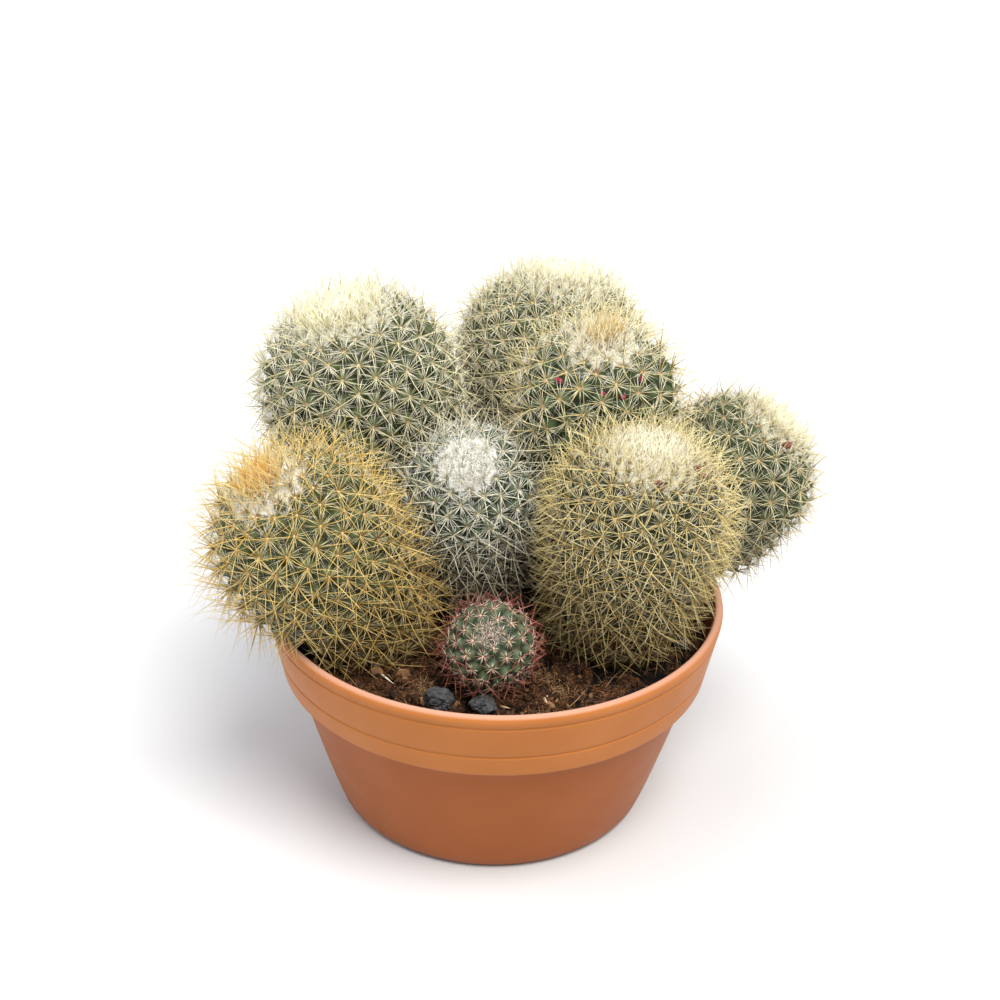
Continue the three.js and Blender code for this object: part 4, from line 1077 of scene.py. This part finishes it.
def fibres(name, finish, count, seed, lengths, thick, knots=None):
    """Fibres on the soil: thin curved needles that start a little above it and bend back down. With knots, a
    list of places and a number of others, they fan out from these instead of lying everywhere."""
    knot_spread, steepest, curl, droop = [3.2, 3.2, 0.9], 1.2 if knots else 0.45, 0.35, 0.22
    from_edge, deepest = 1, 1.5
    random = np.random.default_rng(seed)
    base = bare_ground(random, int(count * FINE))
    many = len(base)
    if knots:
        places, others = knots
        middles = np.vstack([places, bare_ground(random, others)])
        base = middles[random.integers(0, len(middles), many)] + random.normal(0, 1, (many, 3)) * knot_spread
    base[:, 2] += random.uniform(0.2, 1.8, many)
    turn = random.uniform(0, 2 * np.pi, many)
    rise = random.uniform(-0.05, steepest, many)
    direction = unit(np.column_stack([np.cos(turn), np.sin(turn), rise]))
    length = random.uniform(*lengths, many)
    bend = curl * random.standard_normal((many, 3)) - [0, 0, droop]
    ends = base + direction * length[:, None] + bend * length[:, None]
    inside = (np.hypot(ends[:, 0], ends[:, 1]) < SOIL_EDGE - from_edge) & (ends[:, 2] > SOIL_LEVEL - deepest)
    for head in heads:
        inside &= head.distance(ends) > 0
    base, direction, length, bend = (v[inside] for v in (base, direction, length, bend))
    radius = random.uniform(*thick, len(base))
    points, faces, _, each = spikes(base, direction, length, radius, bend, (0, 0.35, 0.7))
    shade = np.repeat(random.uniform(0, 1, len(base)) ** 1.5, each)
    return piece(name, points, faces, finish, attributes={"shade": shade})


def stone(name, finish, seed):
    """A lava stone: a ball cut flat by random planes, so its radius in a direction d is the least of
    h / (d . n) over the planes, roughened by noise of four octaves and fitted to the CAD solid's box."""
    cuts, nearest, furthest, sharpest, roughness = 13, 0.6, 0.92, 1.08, 0.13
    low, high = (np.array(corner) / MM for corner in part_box(name))
    random = np.random.default_rng(seed)
    ball, faces = ball_grid(int(48 * FINE), int(72 * FINE))
    planes = unit(random.standard_normal((cuts, 3)))
    reach = random.uniform(nearest, furthest, cuts) / np.maximum(ball @ planes.T, 0.05)
    broken = np.minimum(reach.min(axis=1), sharpest) + roughness * rough(ball * 10 + 50 * seed, 3, 4, seed)
    lump = ball * broken[:, None]
    lump = 2 * (lump - lump.min(axis=0)) / np.ptp(lump, axis=0) - 1
    points = (low + high) / 2 + lump * (high - low) / 2
    return piece(name + "_rock", points, faces, finish, nodes=[name])


def pod(name, finish):
    """A fruit pod: a slim spindle with a blunt top, from the CAD solid's corner nearest to its head to the
    one furthest out. Its radius at share t is that of the pod times sin(pi t^0.8)^0.55."""
    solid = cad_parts[name]
    corners = np.empty(len(solid.data.vertices) * 3, np.float32)
    solid.data.vertices.foreach_get("co", corners)
    corners = corners.reshape(-1, 3) / MM
    host = min(heads, key=lambda head: np.abs(head.distance(corners)).min())
    reach = host.distance(corners)
    foot, tip = corners[reach.argmin()], corners[reach.argmax()]
    rows, columns = 20, 16
    t = np.linspace(0, 1, rows + 2)[1:-1]
    wide = POD_RADIUS * np.sin(np.pi * t ** 0.8) ** 0.55
    axis = unit(tip - foot)
    side = unit(np.cross(axis, [0.0, 0.0, 1.0]))
    other = np.cross(axis, side)
    turn = np.arange(columns) * 2 * np.pi / columns
    ring = side * np.cos(turn)[:, None] + other * np.sin(turn)[:, None]
    middle = foot + (tip - foot) * t[:, None]
    points = middle[:, None] + ring[None] * wide[:, None, None]
    points = np.vstack([foot[None], points.reshape(-1, 3), tip[None]])
    along = np.concatenate([[0], np.repeat(t, columns), [1]])
    return piece(name + "_berry", points, closed_faces(rows, columns), finish, nodes=[name],
                 attributes={"along": along})


def straws(name, finish, ends):
    """Single straws: each a blunt needle of six sides from one place to another."""
    start, end, radius = (np.array(values, float) for values in zip(*ends))
    way = end - start
    length = np.linalg.norm(way, axis=1)
    points, faces, _, each = spikes(start, unit(way), length, radius, 0 * way, (0, 0.5, 0.9), 6)
    shade = np.repeat(np.linspace(1, 0, len(start)), each)
    return piece(name, points, faces, finish, attributes={"shade": shade})


def dried_flowers(name, finish, head, places):
    """Remains of flowers: a few crumpled scraps stuck between the spines at each place, given as a distance
    from the crown and an angle."""
    scraps, scatter_spread = 7, 1.1
    random = np.random.default_rng(len(places) + head.seed)
    run, angle = (np.repeat(values, scraps) for values in np.array(places).T)
    base, normal = head.surface(run, angle)[:2]
    base = base + normal * random.uniform(1.5, 4.5, (len(run), 1))
    base = base + random.normal(0, scatter_spread, base.shape)
    size = random.uniform(0.9, 1.9, len(run))
    shapes = random.uniform(0.45, 1.2, (len(run), 3))
    points, faces, each = lumps(random, base, size, shapes)
    shade = np.repeat(random.uniform(0, 1, len(run)), each)
    return piece(name, points, faces, finish, attributes={"shade": shade}, smooth=False)


# ---------- assembly ----------

pot_finish = material("moulded_polypropylene", moulded_plastic, IOR=1.49, Specular_IOR_Level=0.22)
points, faces = turned(pot_profile(), int(288 * FINE))
bowl = piece("pot_bowl", points, faces, pot_finish, nodes=["pot"])
drained(bowl)

peat_finish = material("crumbled_peat", peat, Roughness=0.95, Specular_IOR_Level=0.2)
bark_finish = material("composted_bark", bark, Roughness=0.88, Specular_IOR_Level=0.25)
brown_fibre = material("brown_peat_fibre", dry_fibre, "2E1A10", "8A6040", Roughness=0.7)
tan_fibre = material("tan_root_fibre", dry_fibre, "54341C", "B08C60", Roughness=0.6)
points, faces, extra = soil_disc()
piece("soil_bed", points, faces, peat_finish, nodes=["soil"], attributes=extra)
scatter("peat_crumbs", peat_finish, 4200, 21, (0.7, 3.4), 0.85)
scatter("bark_crumbs", bark_finish, 1700, 22, (0.8, 3.0), 0.6)
scatter("bark_chips", bark_finish, 420, 23, (2.0, 4.8), 0.26, sink=-0.4)
fibres("peat_fibres", brown_fibre, 4200, 24, (2.0, 7.0), (0.12, 0.28))
fibres("root_fibres", tan_fibre, 420, 25, (5.0, 14.0), (0.14, 0.32))
fibres("peat_knots", tan_fibre, 3600, 26, (2.0, 6.0), (0.12, 0.3), KNOTS)

lava_finish = material("lava_gravel", lava, Roughness=0.92)
for seed, name in enumerate(["stone_front", "stone_middle", "stone_right"]):
    stone(name, lava_finish, seed + 1)

berry_finish = material("berry_skin", berry_skin, Roughness=0.3, IOR=1.4)
for name in sorted(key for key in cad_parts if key.startswith("pod_")):
    pod(name, berry_finish)

for head in heads:
    dress(head)

straw_finish = material("bleached_straw", dry_fibre, "B08C5C", "F0E8D4", Roughness=0.55)
straws("litter_straws", straw_finish, LITTER)
petal_finish = material("dried_petals", dry_fibre, "4A2418", "94604A", Roughness=0.8)
for head in heads:
    if head.name in FLOWERS:
        dried_flowers(head.name + "_dried_flowers", petal_finish, head, FLOWERS[head.name])

# ---------- floor, light and camera ----------

FLOOR_REACH = 4000.0
floor_corners = FLOOR_REACH * np.array([(-1, -1, 0), (1, -1, 0), (1, 1, 0), (-1, 1, 0)])
floor = shape("floor", floor_corners, [np.array([[0, 1, 2, 3]])])
floor.data.materials.append(material("matt_white_board", pale_board, Roughness=0.9))

scene = bpy.context.scene
scene.view_settings.view_transform = "Standard"
world = bpy.data.worlds.new("studio")
world.use_nodes = True
world.node_tree.nodes.clear()
air = node(world.node_tree, "Background", {"Color": "F7F9FC", "Strength": 0.42})
node(world.node_tree, "OutputWorld", {"Surface": air})
scene.world = world


def broad_light(name, azimuth, elevation, spread, strength, colour):
    """A far light as broad as a softbox, from a direction in degrees: azimuth 0 is behind the camera, and 90
    its right."""
    light = bpy.data.lights.new(name, "SUN")
    light.angle, light.energy, light.color = math.radians(spread), strength, linear(colour)[:3]
    made = bpy.data.objects.new(name, light)
    turn, rise = math.radians(azimuth), math.radians(elevation)
    towards = Vector((math.sin(turn) * math.cos(rise), -math.cos(turn) * math.cos(rise), math.sin(rise)))
    made.rotation_euler = towards.to_track_quat("Z", "Y").to_euler()
    scene.collection.objects.link(made)


broad_light("key_light", 38, 62, 38, 4.5, "FFFCF6")
broad_light("fill_light", -65, 36, 60, 0.8, "FFFFFF")
broad_light("top_light", -120, 70, 60, 1.4, "F6FAFF")

# the camera stands in front and looks down on the pot, with a slight roll
CAMERA_PLACE = Vector((1.12, -785.8, 577.0)) * MM
CAMERA_DIP = math.radians(27.67)
CAMERA_ROLL = math.radians(1.43)
lens = bpy.data.cameras.new("camera")
lens.lens, lens.sensor_width = 64.8, 36.0  # a short telephoto
camera = bpy.data.objects.new("camera", lens)
camera.matrix_world = (Matrix.Translation(CAMERA_PLACE) @ Matrix.Rotation(math.pi / 2 - CAMERA_DIP, 4, "X")
                       @ Matrix.Rotation(CAMERA_ROLL, 4, "Z"))
scene.collection.objects.link(camera)
scene.camera = camera
